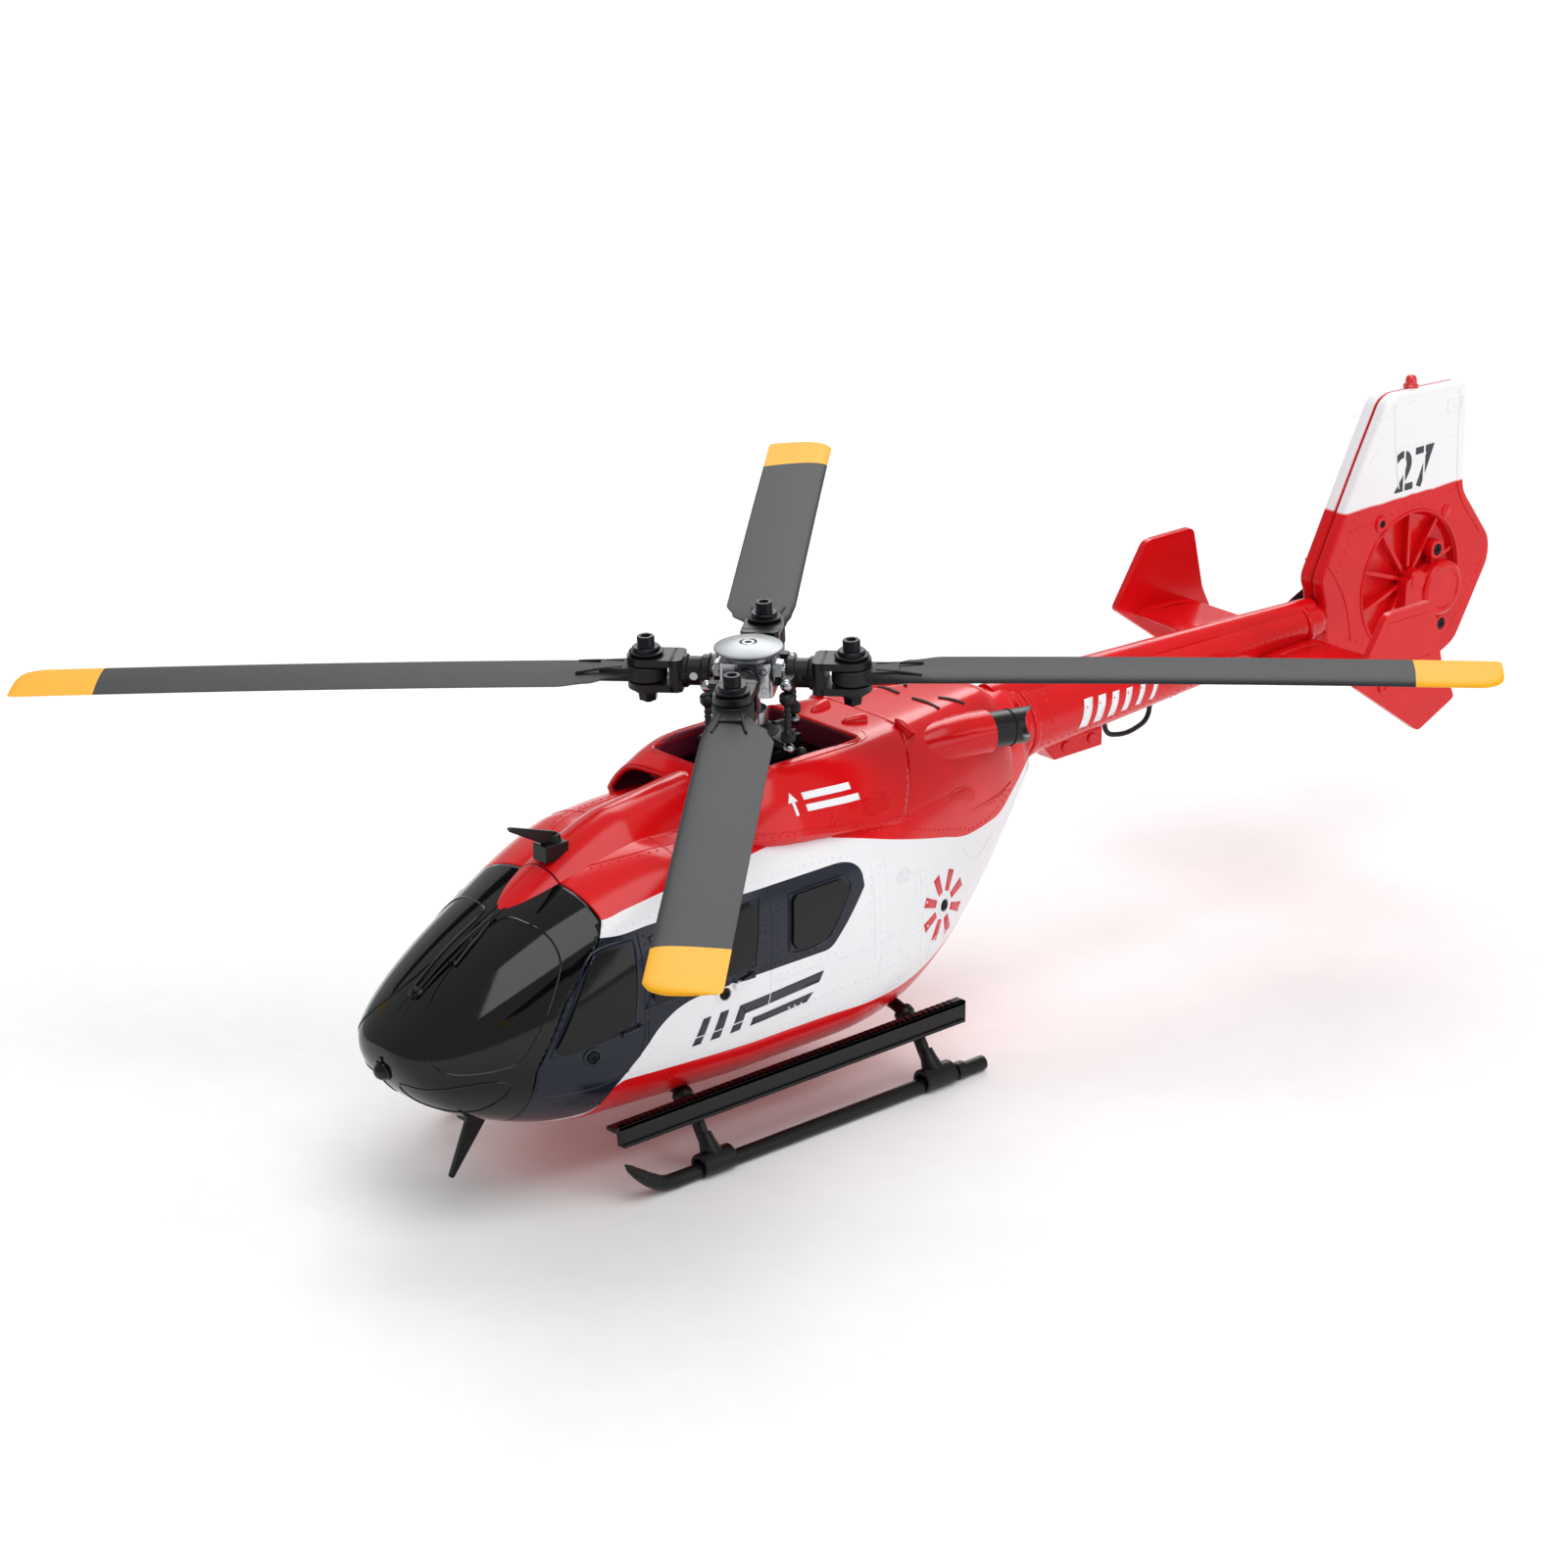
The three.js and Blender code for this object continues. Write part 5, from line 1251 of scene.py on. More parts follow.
# stencilled number on the fin
number = {"text": "27", "size": 9.4, "y": 184.6, "z": 83.9, "lift": 0.06, "cut": 0.7}
for side, sideName in bothSides:
    text = bpy.data.curves.new("number", "FONT")
    text.body = number["text"]
    text.size = number["size"] * 1.35
    text.extrude = 0.03
    text.offset = 0.18
    bm = meshFromCurve(text)
    wide = max(v.co.x for v in bm.verts)
    for split in (wide * 0.25, wide * 0.755):
        for edge in (split - number["cut"] / 2, split + number["cut"] / 2):
            cutPlane(bm, (edge, 0, 0), (1, 0, 0))
        dropFaces(bm, lambda c, split=split: abs(c.x - split) < number["cut"] / 2)
    y = number["y"] if side > 0 else number["y"] + wide
    bmesh.ops.remove_doubles(bm, verts=bm.verts, dist=0.001)
    place = Matrix(((0, 0, side, side * (fin["half"] + number["lift"])), (side, 0, 0, y),
                    (0, 1, 0, number["z"]), (0, 0, 0, 1)))
    bmesh.ops.transform(bm, matrix=place, verts=bm.verts)
    bmesh.ops.holes_fill(bm, edges=[e for e in bm.edges if e.is_boundary])
    bmesh.ops.recalc_face_normals(bm, faces=bm.faces)
    makePiece(bm, f"fin_number_{sideName}", "airframe", decalDark)

# beacon
bm = bmesh.new()
turnedShape(bm, [(1.7, 105.5), (1.7, 106.05), (1.5, 106.25), (1.3, 106.25), (1.3, 107.1), (1.15, 107.7),
                 (0.8, 108.15), (0.3, 108.32), (0, 108.33)], Matrix.Translation((0, 192.5, 0)), 32)
makePiece(bm, "beacon_lamp", "airframe", lampRed, replaces=["beacon"])

# tail rotor on the starboard side
tailRotor = {"x": -11.0, "reach": 29.0, "aim": 21, "root": 2.6, "wide": 9.2, "thick": 0.9}


def tailBladePoint(u, w):
    t = tailRotor
    r = t["root"] + (t["reach"] - t["root"]) * w
    wide = t["wide"] * (0.42 + 0.58 * math.sin(math.pi / 2 * min(1, w * 2.6)))
    wide *= math.sqrt(max(0.02, 1 - share(w, 0.86, 1.0) ** 2.4))
    thick = t["thick"] * (1.7 - 1.1 * share(w, 0, 0.5)) * (1 - 0.5 * share(w, 0.9, 1))
    a = 2 * math.pi * u
    along, out = wide / 2 * math.cos(a), thick / 2 * math.sin(a) * (1.1 - 0.3 * math.cos(a))
    twist = math.radians(34 - 20 * w)
    return Vector((out * math.cos(twist) - along * math.sin(twist),
                   along * math.cos(twist) + out * math.sin(twist), r))


bm = bmesh.new()
for turn in (0, math.pi):
    blade = sheet(28, 30, tailBladePoint)
    bmesh.ops.holes_fill(blade, edges=[e for e in blade.edges if e.is_boundary])
    addFrom(bm, blade, Matrix.Translation((tailRotor["x"], *c))
            @ Matrix.Rotation(math.pi / 2 + math.radians(tailRotor["aim"]) + turn, 4, "X"))
hubSide = turnedTo("Y", (tailRotor["x"], *c), -math.pi / 2)
turnedShape(bm, [(0.85, -10.9), (0.85, -2.2), (3, -2.2), (3.2, -1.9), (3.2, 1.6), (2.8, 2.1), (1.2, 2.2),
                 (1.1, 1.8), (0, 1.8)],
            hubSide, 40)
makePiece(bm, "tail_propeller", "tail_rotor", nylonBlack, replaces=["tail_rotor"])

# stabilisers with their end plates
stab = {"root": (3.4, 140, 162, 55.6, 3.0), "fillet": (10, 142, 161, 55.8, 2.5),
        "tip": (33.9, 143.5, 160, 56.6, 2.1),
        "plate": [(137.2, 58.8), (146, 71.8), (147.4, 72.6), (160.6, 72.5), (161.6, 71.6), (164.8, 58),
                  (169.5, 49.2), (158, 44.2)]}


def stabPoint(u, w, side):
    a, b, t = (stab["root"], stab["fillet"], w * 4) if w < 0.25 else (stab["fillet"], stab["tip"],
                                                                      (w - 0.25) / 0.75)
    x, y0, y1, z, thick = [p + (q - p) * t for p, q in zip(a, b)]
    angle = 2 * math.pi * u
    along = (y0 + y1) / 2 - (y1 - y0) / 2 * math.cos(angle)
    rise = thick / 2 * math.sin(angle) * (0.6 + 0.4 * math.cos(angle)) * 1.1
    return Vector((side * x, along, z + rise))


for side, sideName in bothSides:
    bm = sheet(48, 32, lambda u, w: stabPoint(u, w, side))
    x0, x1 = sorted((side * 33.6, side * 35.2))
    addFrom(bm, plateMesh([roundedLoop(stab["plate"], 1.2, 4)], x0, x1))
    addBoxes(bm, ((side * 3, 143, 54.6), (side * 6.4, 159, 56.8)))
    for y in (146, 156):
        turnedShape(bm, [(1.5, -0.6), (1.5, 0.35), (1.2, 0.6), (0.7, 0.6), (0.65, 0.3), (0, 0.3)],
                    facing((side * 35.1, y, 57), (side, 0, 0)), 24)
    for line in ([(140.5, 60), (161, 60.6)], [(147, 70.4), (160, 70.2)]):
        addTube(bm, [Vector((side * 35.2, *p)) for p in line], 0.2, sides=1)
    for y, x in ((150.5, 8), (150.9, 31)):
        addTube(bm, [Vector((side * x, y - 6, 57.3)), Vector((side * x, y, 57.6)),
                     Vector((side * x, y + 7, 56.9))], 0.2, sides=1)
    addBevel(makePiece(bm, f"stabiliser_{sideName}_skin", "airframe", redLacquer,
                       replaces=[f"stabiliser_{sideName}"]), 0.5, 3, 50)
print("tail done")

# skids
skid = {"x": 28.0, "r": 1.5, "front": -45.0, "rear": 37.0, "boardX": 26.3, "boardFront": -57.0,
        "boardRear": 33.3, "boardTop": 15.6, "boardTall": 4.4, "struts": (("front", -34.4), ("rear", 24.0)),
        "arch": [(27.6, 3.9), (25.6, 5.4), (23, 9.2), (19.8, 12.6), (15, 14.4)]}
for side, sideName in bothSides:
    x = side * skid["x"]
    bm = bmesh.new()
    rodBetween(bm, (x, skid["front"], skid["r"]), (x, skid["rear"], skid["r"]), skid["r"], sides=40)
    turnedShape(bm, [(1.5, -0.8), (1.78, -0.8), (1.78, 1.2), (1.5, 1.2)],
                turnedTo("X", (x, 30.5, 1.78)), 36)
    # the toe: the tube flattens, climbs and comes to a point
    path = [(skid["front"] + 1, 1.5, 1.5), (skid["front"] - 2, 1.75, 1.5), (skid["front"] - 5, 3.1, 1.5),
            (skid["front"] - 8, 5.2, 1.25), (skid["front"] - 10.4, 7.2, 0.8),
            (skid["front"] - 11.5, 8.3, 0.25)]
    addTube(bm, [Vector((x, y, z)) for y, z, r in path], 1, sides=8, radii=[r for y, z, r in path])
    makePiece(bm, f"skid_{sideName}", "airframe", satinBlack, replaces=[f"skid_tube_{sideName}"])

    x = side * skid["boardX"]
    top, tall = skid["boardTop"], skid["boardTall"]
    bm = plateMesh([[(skid["boardFront"], top), (skid["boardFront"] + 0.4, top - tall + 1.2),
                     (skid["boardFront"] + 1.8, top - tall), (skid["boardRear"], top - tall),
                     (skid["boardRear"], top)]],
                   x - 0.5, x + 0.5)
    front, rear = skid["boardFront"], skid["boardRear"]
    addBoxes(bm, ((x - side * 2, front - 1, top - 0.8), (x + side * 0.5, rear, top)),
             ((x - side * 1.2, front + 1, top - tall), (x + side * 0.9, rear - 0.4, top - tall + 0.7)))
    for k in range(58):
        # anti-slip ribs on the step
        y = skid["boardFront"] + 2 + k * 1.5
        rodBetween(bm, (x - side * 1.85, y, top + 0.02), (x + side * 0.3, y, top + 0.02), 0.16, sides=6)
    for name, y in skid["struts"]:
        addBoxes(bm, ((x - side * 2.4, y - 2.2, top - tall + 0.4), (x - side * 0.4, y + 2.2, top - 0.6)))
    addBevel(makePiece(bm, f"step_{sideName}", "airframe", satinBlack, replaces=[f"running_board_{sideName}"]), 0.14)

for name, y in skid["struts"]:
    bm = bmesh.new()
    arch = [(s * x, y, z) for s, points in ((-1, skid["arch"]), (1, skid["arch"][::-1])) for x, z in points]
    addTube(bm, arch, 1.28, sides=7)
    for s in (1, -1):
        turnedShape(bm, [(1.5, -4), (2.15, -4), (2.4, -3.7), (2.4, 3.7), (2.15, 4), (1.5, 4)],
                    turnedTo("X", (s * skid["x"], y, 2.4)), 36)
        turnedShape(bm, [(2.3, -1.0), (2.2, 0.4), (1.7, 2.2), (1.35, 4.2), (1.2, 4.2)],
                    facing((s * 27.2, y, 3.6), (-s * 0.6, 0, 1)), 28)
        turnedShape(bm, [(1.9, -0.9), (2.05, -0.5), (2.05, 0.6), (1.7, 1.2), (1.2, 1.2)],
                    facing((s * 19, y, 13.0), (s * 1, 0, -0.5)), 28)
    makePiece(bm, f"strut_{name}", "airframe", satinBlack, replaces=[f"cross_tube_{name}"])
print("skids done")

# rotor head, built flat in the head's own frame
head = {"bolt": 20.0, "lag": math.radians(4), "sag": 1.6, "tipR": 144.0, "chord": 13.9, "thick": 1.9,
        "paintFrom": 127.2, "paint": "#f2ab08", "grey": "#1f2124", "greyDark": "#191b1e"}
armFrames = [headFrame @ Matrix.Rotation(a, 4, "Z") for a in arms]


def bladeMaterial():
    # matt moulded nylon with a sprayed tip; the mould left fine lines along the blade
    material, tree, shader, place = startMaterial("matt blade nylon", head["grey"], 0.5, specular=0.25)
    addGrain(tree, shader, place, 0.5, 0.01, 0.46, 0.58)
    base = mottle(tree, shader, place, head["greyDark"], head["grey"], 7)
    away = addNode(tree, "ShaderNodeVectorMath",
                   {"operation": "DISTANCE", 1: (0, mastY / 1000, hubPoint.z / 1000)}, {0: place})
    tip = addNode(tree, "ShaderNodeMath", {"operation": "GREATER_THAN", 1: head["paintFrom"] / 1000},
                  {0: away.outputs["Value"]}).outputs[0]
    overpaint(tree, shader, base, tip, head["paint"])
    return material


bladePaint = bladeMaterial()
lead = -0.35 * head["chord"]
trail = lead + head["chord"]
tipX = head["tipR"] - head["bolt"]
# distance from the bolt, leading edge, trailing edge, thickness
bladeRows = [(3, -3.2, 3.2, 3.0), (6.5, -3.8, 4.6, 2.7), (11, -4.5, 7.4, 2.3),
             (17, lead, trail, head["thick"]), (tipX - 4, lead, trail, head["thick"]),
             (tipX - 1.6, lead + 1.2, trail, head["thick"] * 0.9),
             (tipX - 0.5, lead + 2.8, trail - 0.2, head["thick"] * 0.7),
             (tipX, lead + 5, trail - 0.8, head["thick"] * 0.4)]


def bladePoint(u, w):
    # the rows crowd towards the root and the tip
    crowd = 1 - (1 - w) ** 3 if w > 0.5 else 7 * w ** 3
    root = bladeRows[0][0]
    x = root + (tipX - root) * (w + crowd) / 2
    for a, b in zip(bladeRows, bladeRows[1:]):
        if x <= b[0] + 1e-6:
            t = share(x, a[0], b[0])
            t = t * t * (3 - 2 * t) if x < 17 else t
            y0, y1, thick = [a[i] + (b[i] - a[i]) * t for i in (1, 2, 3)]
            break
    angle = 2 * math.pi * u
    across = (y0 + y1) / 2 - (y1 - y0) / 2 * math.cos(angle)
    rise = thick / 2 * math.sin(angle) * (0.62 + 0.38 * math.cos(angle)) * 1.15
    return Vector((x, across, rise - head["sag"] * (x / tipX) ** 2))


gripShape = {"barrel": [(1.5, 7.3), (2.9, 7.3), (3.25, 7.6), (3.25, 8.9), (2.85, 9.2), (2.85, 11.6),
                        (3.3, 12), (3.3, 13.6)],
             "half": 3.8, "plateIn": 1.8, "plateOut": 3.3, "forkFrom": 14.2, "pitchX": 8.2, "pitchY": -7.0,
             "ball": 1.2}
boltShape = [(0, 3.62), (3.3, 3.62), (3.4, 3.75), (3.4, 4.0), (3.2, 4.12), (2.75, 4.2), (2.7, 4.8),
             (2.5, 4.98), (1.75, 5.0), (1.7, 5.1), (1.72, 6.8), (1.55, 7.05), (1.0, 7.05), (0.9, 6.9),
             (0.88, 5.9), (0, 5.8)]
alongX = turnedTo("Y")


def slab(outline, z0, z1):
    # a flat (x, y) outline given a thickness along Z
    turn = Matrix(((0, 1, 0, 0), (0, 0, 1, 0), (1, 0, 0, 0), (0, 0, 0, 1)))
    bm = plateMesh([outline], z0, z1)
    bmesh.ops.transform(bm, matrix=turn, verts=bm.verts)
    return bm


def forkOutline(reach, half):
    end = [(head["bolt"] + half * math.cos(k * math.pi / 16), half * math.sin(k * math.pi / 16))
           for k in range(-8, 9)]
    return [(reach, -half)] + end + [(reach, half)]


for k, armFrame in enumerate(armFrames, 1):
    # blade
    bladeFrame = armFrame @ turnedTo("Z", (head["bolt"], 0, 0), head["lag"])
    bm = sheet(40, 130, bladePoint)
    bmesh.ops.holes_fill(bm, edges=[e for e in bm.edges if e.is_boundary])
    turnedShape(bm, [(1.3, -1.5), (3.7, -1.5), (4, -1.25), (4, 1.25), (3.7, 1.5), (1.3, 1.5), (1.3, -1.5)],
                None, 48)
    addFrom(bm, slab([(2.4, -3), (9, -2.2), (9, 2.6), (2.4, 3)], -1.3, 1.34))
    for y in (-1.5, 1.9):
        addTube(bm, [Vector((4.6, y, 1.28)), Vector((9, y * 1.4, 1.15)), Vector((13.5, y * 1.9, 0.78))], 0.28,
                sides=2)
    makePiece(bm, f"blade_{k}_skin", f"blade_{k}", bladePaint, bladeFrame, replaces=[f"blade_{k}"])

    # grip
    g = gripShape
    bm = bmesh.new()
    turnedShape(bm, g["barrel"], alongX, 40)
    for z0, z1 in ((g["plateIn"], g["plateOut"]), (-g["plateOut"], -g["plateIn"])):
        addFrom(bm, slab(forkOutline(g["forkFrom"], g["half"]), z0, z1))
        turnedShape(bm, [(1.2, 0), (2.9, 0), (2.9, 0.22), (2.7, 0.3), (1.2, 0.3)],
                    Matrix.Translation((head["bolt"], 0, z1 if z0 > 0 else z0))
                    @ (Matrix.Rotation(0 if z0 > 0 else math.pi, 4, "X")), 36)
    addFrom(bm, slab([(12.6, -3.0), (13.4, -3.8), (15.1, -3.8), (15.1, 3.8), (13.4, 3.8), (12.6, 3.0)], -3.3,
                     3.3))
    for y in (-3.1, 3.1):
        # gussets from barrel to fork
        addFrom(bm, slab([(9.4, y * 0.75), (12.8, y * 1.18), (12.8, y * 0.4),
                          (9.4, y * 0.4)][::1 if y > 0 else -1], -0.6, 0.6))
    addFrom(bm, slab([(7.3, -1.6), (7.2, -6.2), (7.6, -6.6), (8.8, -6.6), (9.3, -6.2), (9.7, -1.6)], -1.15,
                     1.0))
    addBevel(makePiece(bm, f"grip_{k}_body", f"grip_{k}", nylonBlack, armFrame, replaces=[f"grip_{k}"]), 0.24, 2, 40)
    bm = bmesh.new()
    addBall(bm, (g["pitchX"], g["pitchY"], 0), g["ball"])
    rodBetween(bm, (g["pitchX"], -5.6, 0), (g["pitchX"], -6.4, 0), 0.75, sides=16)
    rodBetween(bm, (10.4, 2.7, 0), (10.4, 3.1, 0), 0.8, sides=20)
    makePiece(bm, f"pitch_ball_{k}", f"grip_{k}", groundSteel, armFrame)

    # blade bolt: stepped washers, socket head and nut
    bm = bmesh.new()
    at = Matrix.Translation((head["bolt"], 0, 0))
    turnedShape(bm, boltShape, at, 36)
    bmesh.ops.create_cone(bm, cap_ends=True, segments=6, radius1=0.92, radius2=0.92, depth=0.5,
                          matrix=at @ Matrix.Translation((0, 0, 6.15)))
    bmesh.ops.create_cone(bm, cap_ends=True, segments=6, radius1=1.85, radius2=2.05, depth=2.3,
                          matrix=at @ Matrix.Translation((0, 0, -4.8)))
    turnedShape(bm, [(0, -6.4), (0.9, -6.4), (1, -6.25), (1, -3.62), (2.6, -3.62), (2.6, -4.1), (0, -4.1)],
                at, 28)
    rodBetween(bm, (head["bolt"], 0, -3.7), (head["bolt"], 0, 3.7), 1.0, sides=24)
    makePiece(bm, f"bolt_{k}", f"grip_{k}", blackenedSteel, armFrame, replaces=[f"blade_bolt_{k}"])

    # pitch link
    bm = bmesh.new()
    turnedShape(bm, [(0, -11.5), (1.1, -11.5), (1.45, -11.1), (1.45, -9.9), (1.1, -9.4), (0.62, -8.9),
                     (0.62, -4.2), (1.1, -3.7), (1.45, -3.2), (1.45, -2.0), (1.1, -1.6), (0, -1.6)], None, 28)
    for z in (-8.2, -7.2, -6.2, -5.2):
        turnedShape(bm, [(0.55, z - 0.22), (0.8, z), (0.55, z + 0.22)], None, 20)
    makePiece(bm, f"link_{k}", "swash_upper", nylonBlack,
              armFrame @ Matrix.Translation((g["pitchX"], g["pitchY"], 0)), replaces=[f"pitch_link_{k}"])
print("blades and grips done")

# hub, cap and mast
hubShape = {"half": 5.25, "tall": 3.5, "corner": 1.5, "nutR": 2.7, "nutX": 5.95, "spindle": 1.1}
firstArm = Matrix.Rotation(arms[0], 4, "Z")
half = hubShape["half"]
bm = slab(roundedLoop([(-half, -half), (half, -half), (half, half), (-half, half)], hubShape["corner"], 4),
          -hubShape["tall"], hubShape["tall"])
turnedShape(bm, [(1.95, -4.6), (3.2, -4.6), (3.4, -4.4), (3.4, 4.1), (3.2, 4.3), (0, 4.3)], None, 44)
turnedShape(bm, [(4.6, 3.4), (4.6, 3.8), (4.3, 4.0), (3, 4.0)], None, 44)
makePiece(bm, "hub_block", "rotor", machinedAluminium, headFrame @ firstArm, replaces=["hub"])
bm = bmesh.new()
for k in range(4):
    turn = Matrix.Rotation(k * math.pi / 2, 4, "Z")
    nut = bmesh.new()
    bmesh.ops.create_cone(nut, cap_ends=True, segments=6, radius1=hubShape["nutR"],
                          radius2=hubShape["nutR"] - 0.2, depth=1.3,
                          matrix=turnedTo("Y", (hubShape["nutX"], 0, 0)))
    turnedShape(nut, [(0, 5.2), (3.0, 5.2), (3.0, 5.35), (0, 5.35)], alongX, 32)
    rodBetween(nut, (5, 0, 0), (12.2, 0, 0), hubShape["spindle"], sides=24)
    addFrom(bm, nut, turn)
    for x, z in ((3.6, 1.9), (3.6, -1.9)):
        side = bmesh.new()
        turnedShape(side, [(0.75, 0), (0.75, 0.1), (0.45, 0.1), (0.4, -0.2), (0, -0.25)],
                    Matrix.Translation((5.22, x, z)) @ alongX, 20)
        addFrom(bm, side, turn)
makePiece(bm, "spindle_nuts", "rotor", groundSteel, headFrame @ firstArm)
bm = bmesh.new()
turnedShape(bm, [(0, 4.6), (5.9, 4.6), (6.6, 4.8), (6.75, 5.05), (6.7, 5.25), (6.35, 5.42), (3.4, 5.95),
                 (2.1, 6.2), (1.75, 6.2), (1.6, 6.05), (1.55, 5.5), (0, 5.5)], None, 72)
makePiece(bm, "hub_disc", "rotor", frostedAluminium, headFrame, replaces=["hub_cap"])
bm = bmesh.new()
turnedShape(bm, [(0, 5.5), (1.35, 5.5), (1.35, 6.0), (1.2, 6.15), (0.75, 6.15), (0.68, 5.7), (0, 5.68)], None,
            32)
makePiece(bm, "hub_screw", "rotor", groundSteel, headFrame)
bm = bmesh.new()
turnedShape(bm, [(0, -50), (1.7, -50), (1.9, -49.8), (1.9, -30), (1.75, -29.8), (1.75, -29.2), (1.9, -29),
                 (1.9, 0.6), (0, 1)],
            None, 36)
turnedShape(bm, [(1.85, -10.2), (3.1, -10.2), (3.3, -10), (3.3, -7.6), (3.1, -7.4), (1.85, -7.4)], None, 36)
makePiece(bm, "mast_rod", "rotor", groundSteel, headFrame, replaces=["mast"])

# swashplate: turning ring with four balls, still ring with its guide pin
swash = {"reach": math.hypot(gripShape["pitchX"], gripShape["pitchY"]), "ball": 1.2, "ballZ": -13,
         "rodZ": -15.5, "turn": math.atan2(gripShape["pitchY"], gripShape["pitchX"]), "footZ": 49.3}
bm = bmesh.new()
turnedShape(bm, [(2.3, -14), (6.4, -14), (7, -13.8), (7, -12.8), (6.6, -12.5), (5.2, -12.3), (5, -12),
                 (3.6, -12), (3.4, -12.3), (2.3, -12.3), (2.3, -14)], None, 56)
balls = bmesh.new()
for a in arms:
    turn = Matrix.Rotation(a + swash["turn"], 4, "Z")
    horn = bmesh.new()
    rodBetween(horn, (5.6, 0, swash["ballZ"]), (swash["reach"] - 1, 0, swash["ballZ"]), 1.15, 0.75, sides=20)
    addFrom(bm, horn, turn)
    bead = bmesh.new()
    addBall(bead, (swash["reach"], 0, swash["ballZ"]), swash["ball"])
    addFrom(balls, bead, turn)
addBevel(makePiece(bm, "swash_ring_turning", "swash_upper", nylonBlack, headFrame, replaces=["swash_upper"]),
         0.12)
makePiece(balls, "swash_balls", "swash_upper", groundSteel, headFrame)
bm = bmesh.new()
turnedShape(bm, [(2.3, -16.7), (6.9, -16.7), (7.6, -16.3), (7.6, -14.6), (7.2, -14.3), (2.3, -14.3),
                 (2.3, -16.7)], None, 56)
rodBetween(bm, (0, 6, -15.8), (0, 11.2, -15.8), 0.8, sides=20)
posts = {"left": (1, 4.0, 17.5, 11.0), "right": (-1, 4.0, -17.5, 11.0), "front": (-1, -4.4, -0.5, -5.4)}
toHead = headFrame.inverted()
for name, (sign, y, hornX, hornY) in posts.items():
    rodBetween(bm, (sign * 6.4, y * 0.62, swash["rodZ"]), (sign * 9.4, y, swash["rodZ"]), 0.8, sides=20)
    top = Vector((sign * 9.6, y, swash["rodZ"]))
    addBall(bm, top, 1.25, 20, 12)
    foot = toHead @ Vector((hornX, hornY, swash["footZ"]))
    rodBetween(bm, top, foot, 0.5, sides=14)
    rodBetween(bm, top, top.lerp(foot, 0.2), 1.15, 0.95, sides=20)
    rodBetween(bm, top.lerp(foot, 0.84), foot, 0.95, 1.15, sides=20)
addBevel(makePiece(bm, "swash_ring_still", "swash_lower", nylonBlack, headFrame, replaces=["swash_lower"]),
         0.1)
bm = bmesh.new()
for sign in (1, -1):
    addBoxes(bm, ((sign * 1.2, 8.4, -30), (sign * 2.4, 10.8, -15.2)))
addBoxes(bm, ((-2.4, 8.4, -35.5), (2.4, 10.8, -26)))
for z in (-24, -20.5):
    addBoxes(bm, ((-2.7, 8.1, z - 0.3), (-1.2, 11.1, z + 0.3)))
    addBoxes(bm, ((1.2, 8.1, z - 0.3), (2.7, 11.1, z + 0.3)))
addBevel(makePiece(bm, "guide", "airframe", nylonBlack, headFrame, replaces=["guide_fork"]), 0.2)
print("head done")

# inside the pod: frame, battery, board, servos, motor
bm = bmesh.new()
addBoxes(bm, ((-10, -70, 17.4), (10, 24, 19)), ((-10, -16, 17.4), (-8.4, 18, 50)),
         ((8.4, -16, 17.4), (10, 18, 50)),
         ((-10, 4.6, 48.4), (10, 12, 50)), ((-10, -4.8, 48.4), (-3.2, 4.8, 50)),
         ((3.2, -4.8, 48.4), (10, 4.8, 50)),
         ((-4, 14, 40), (4, 54, 41.6)), ((-10, 14, 40), (10, 18, 44)))
for y in range(-66, 24, 8):
    addBoxes(bm, ((-9.4, y, 16.6), (9.4, y + 0.8, 17.5)))
for side in (1, -1):
    for y, z in ((-12, 24), (-12, 34), (12, 24), (12, 34)):
        addBoxes(bm, ((side * 9.9, y - 3, z), (side * 10.9, y + 3, z + 0.8)))
    turnedShape(bm, [(1.9, 0), (1.9, 1.2), (1.5, 1.5), (0.9, 1.5), (0.85, 0.4), (0, 0.4)],
                facing((side * 10, 0, 30), (side, 0, 0)), 24)
turnedShape(bm, [(2.3, 0), (4.6, 0), (4.6, 1.4), (4.2, 1.8), (2.3, 1.8)], Matrix.Translation((0, 1.7, 49.6)),
            40)
addBevel(makePiece(bm, "chassis", "airframe", nylonBlack, replaces=["main_frame"]), 0.3)

low, high = cadSpan("battery")
bm = bmesh.new()
addBoxes(bm, (low + Vector((0.2, 1.2, 0.2)), high - Vector((0.2, 1.2, 0.2))))
addBevel(makePiece(bm, "battery_cells", "airframe", batteryWrap, replaces=["battery"]),
         1.6, 4)
bm = bmesh.new()
for y in (low.y + 0.2, high.y - 4.4):
    addBoxes(bm, ((low.x + 0.08, y, low.z + 0.08), (high.x - 0.08, y + 4.2, high.z - 0.08)))
addBevel(makePiece(bm, "battery_tape", "airframe", kraftTape), 1.5, 3)
bm = bmesh.new()
addBoxes(bm, ((low.x - 0.1, (low.y + high.y) / 2 - 3, low.z - 0.1),
              (high.x + 0.1, (low.y + high.y) / 2 + 3, high.z + 0.1)))
addBoxes(bm, ((low.x + 2, low.y - 0.4, low.z + 4), (high.x - 2, low.y + 0.6, high.z - 4)))
addBevel(makePiece(bm, "battery_strap", "airframe", foamGrey), 0.6, 3)

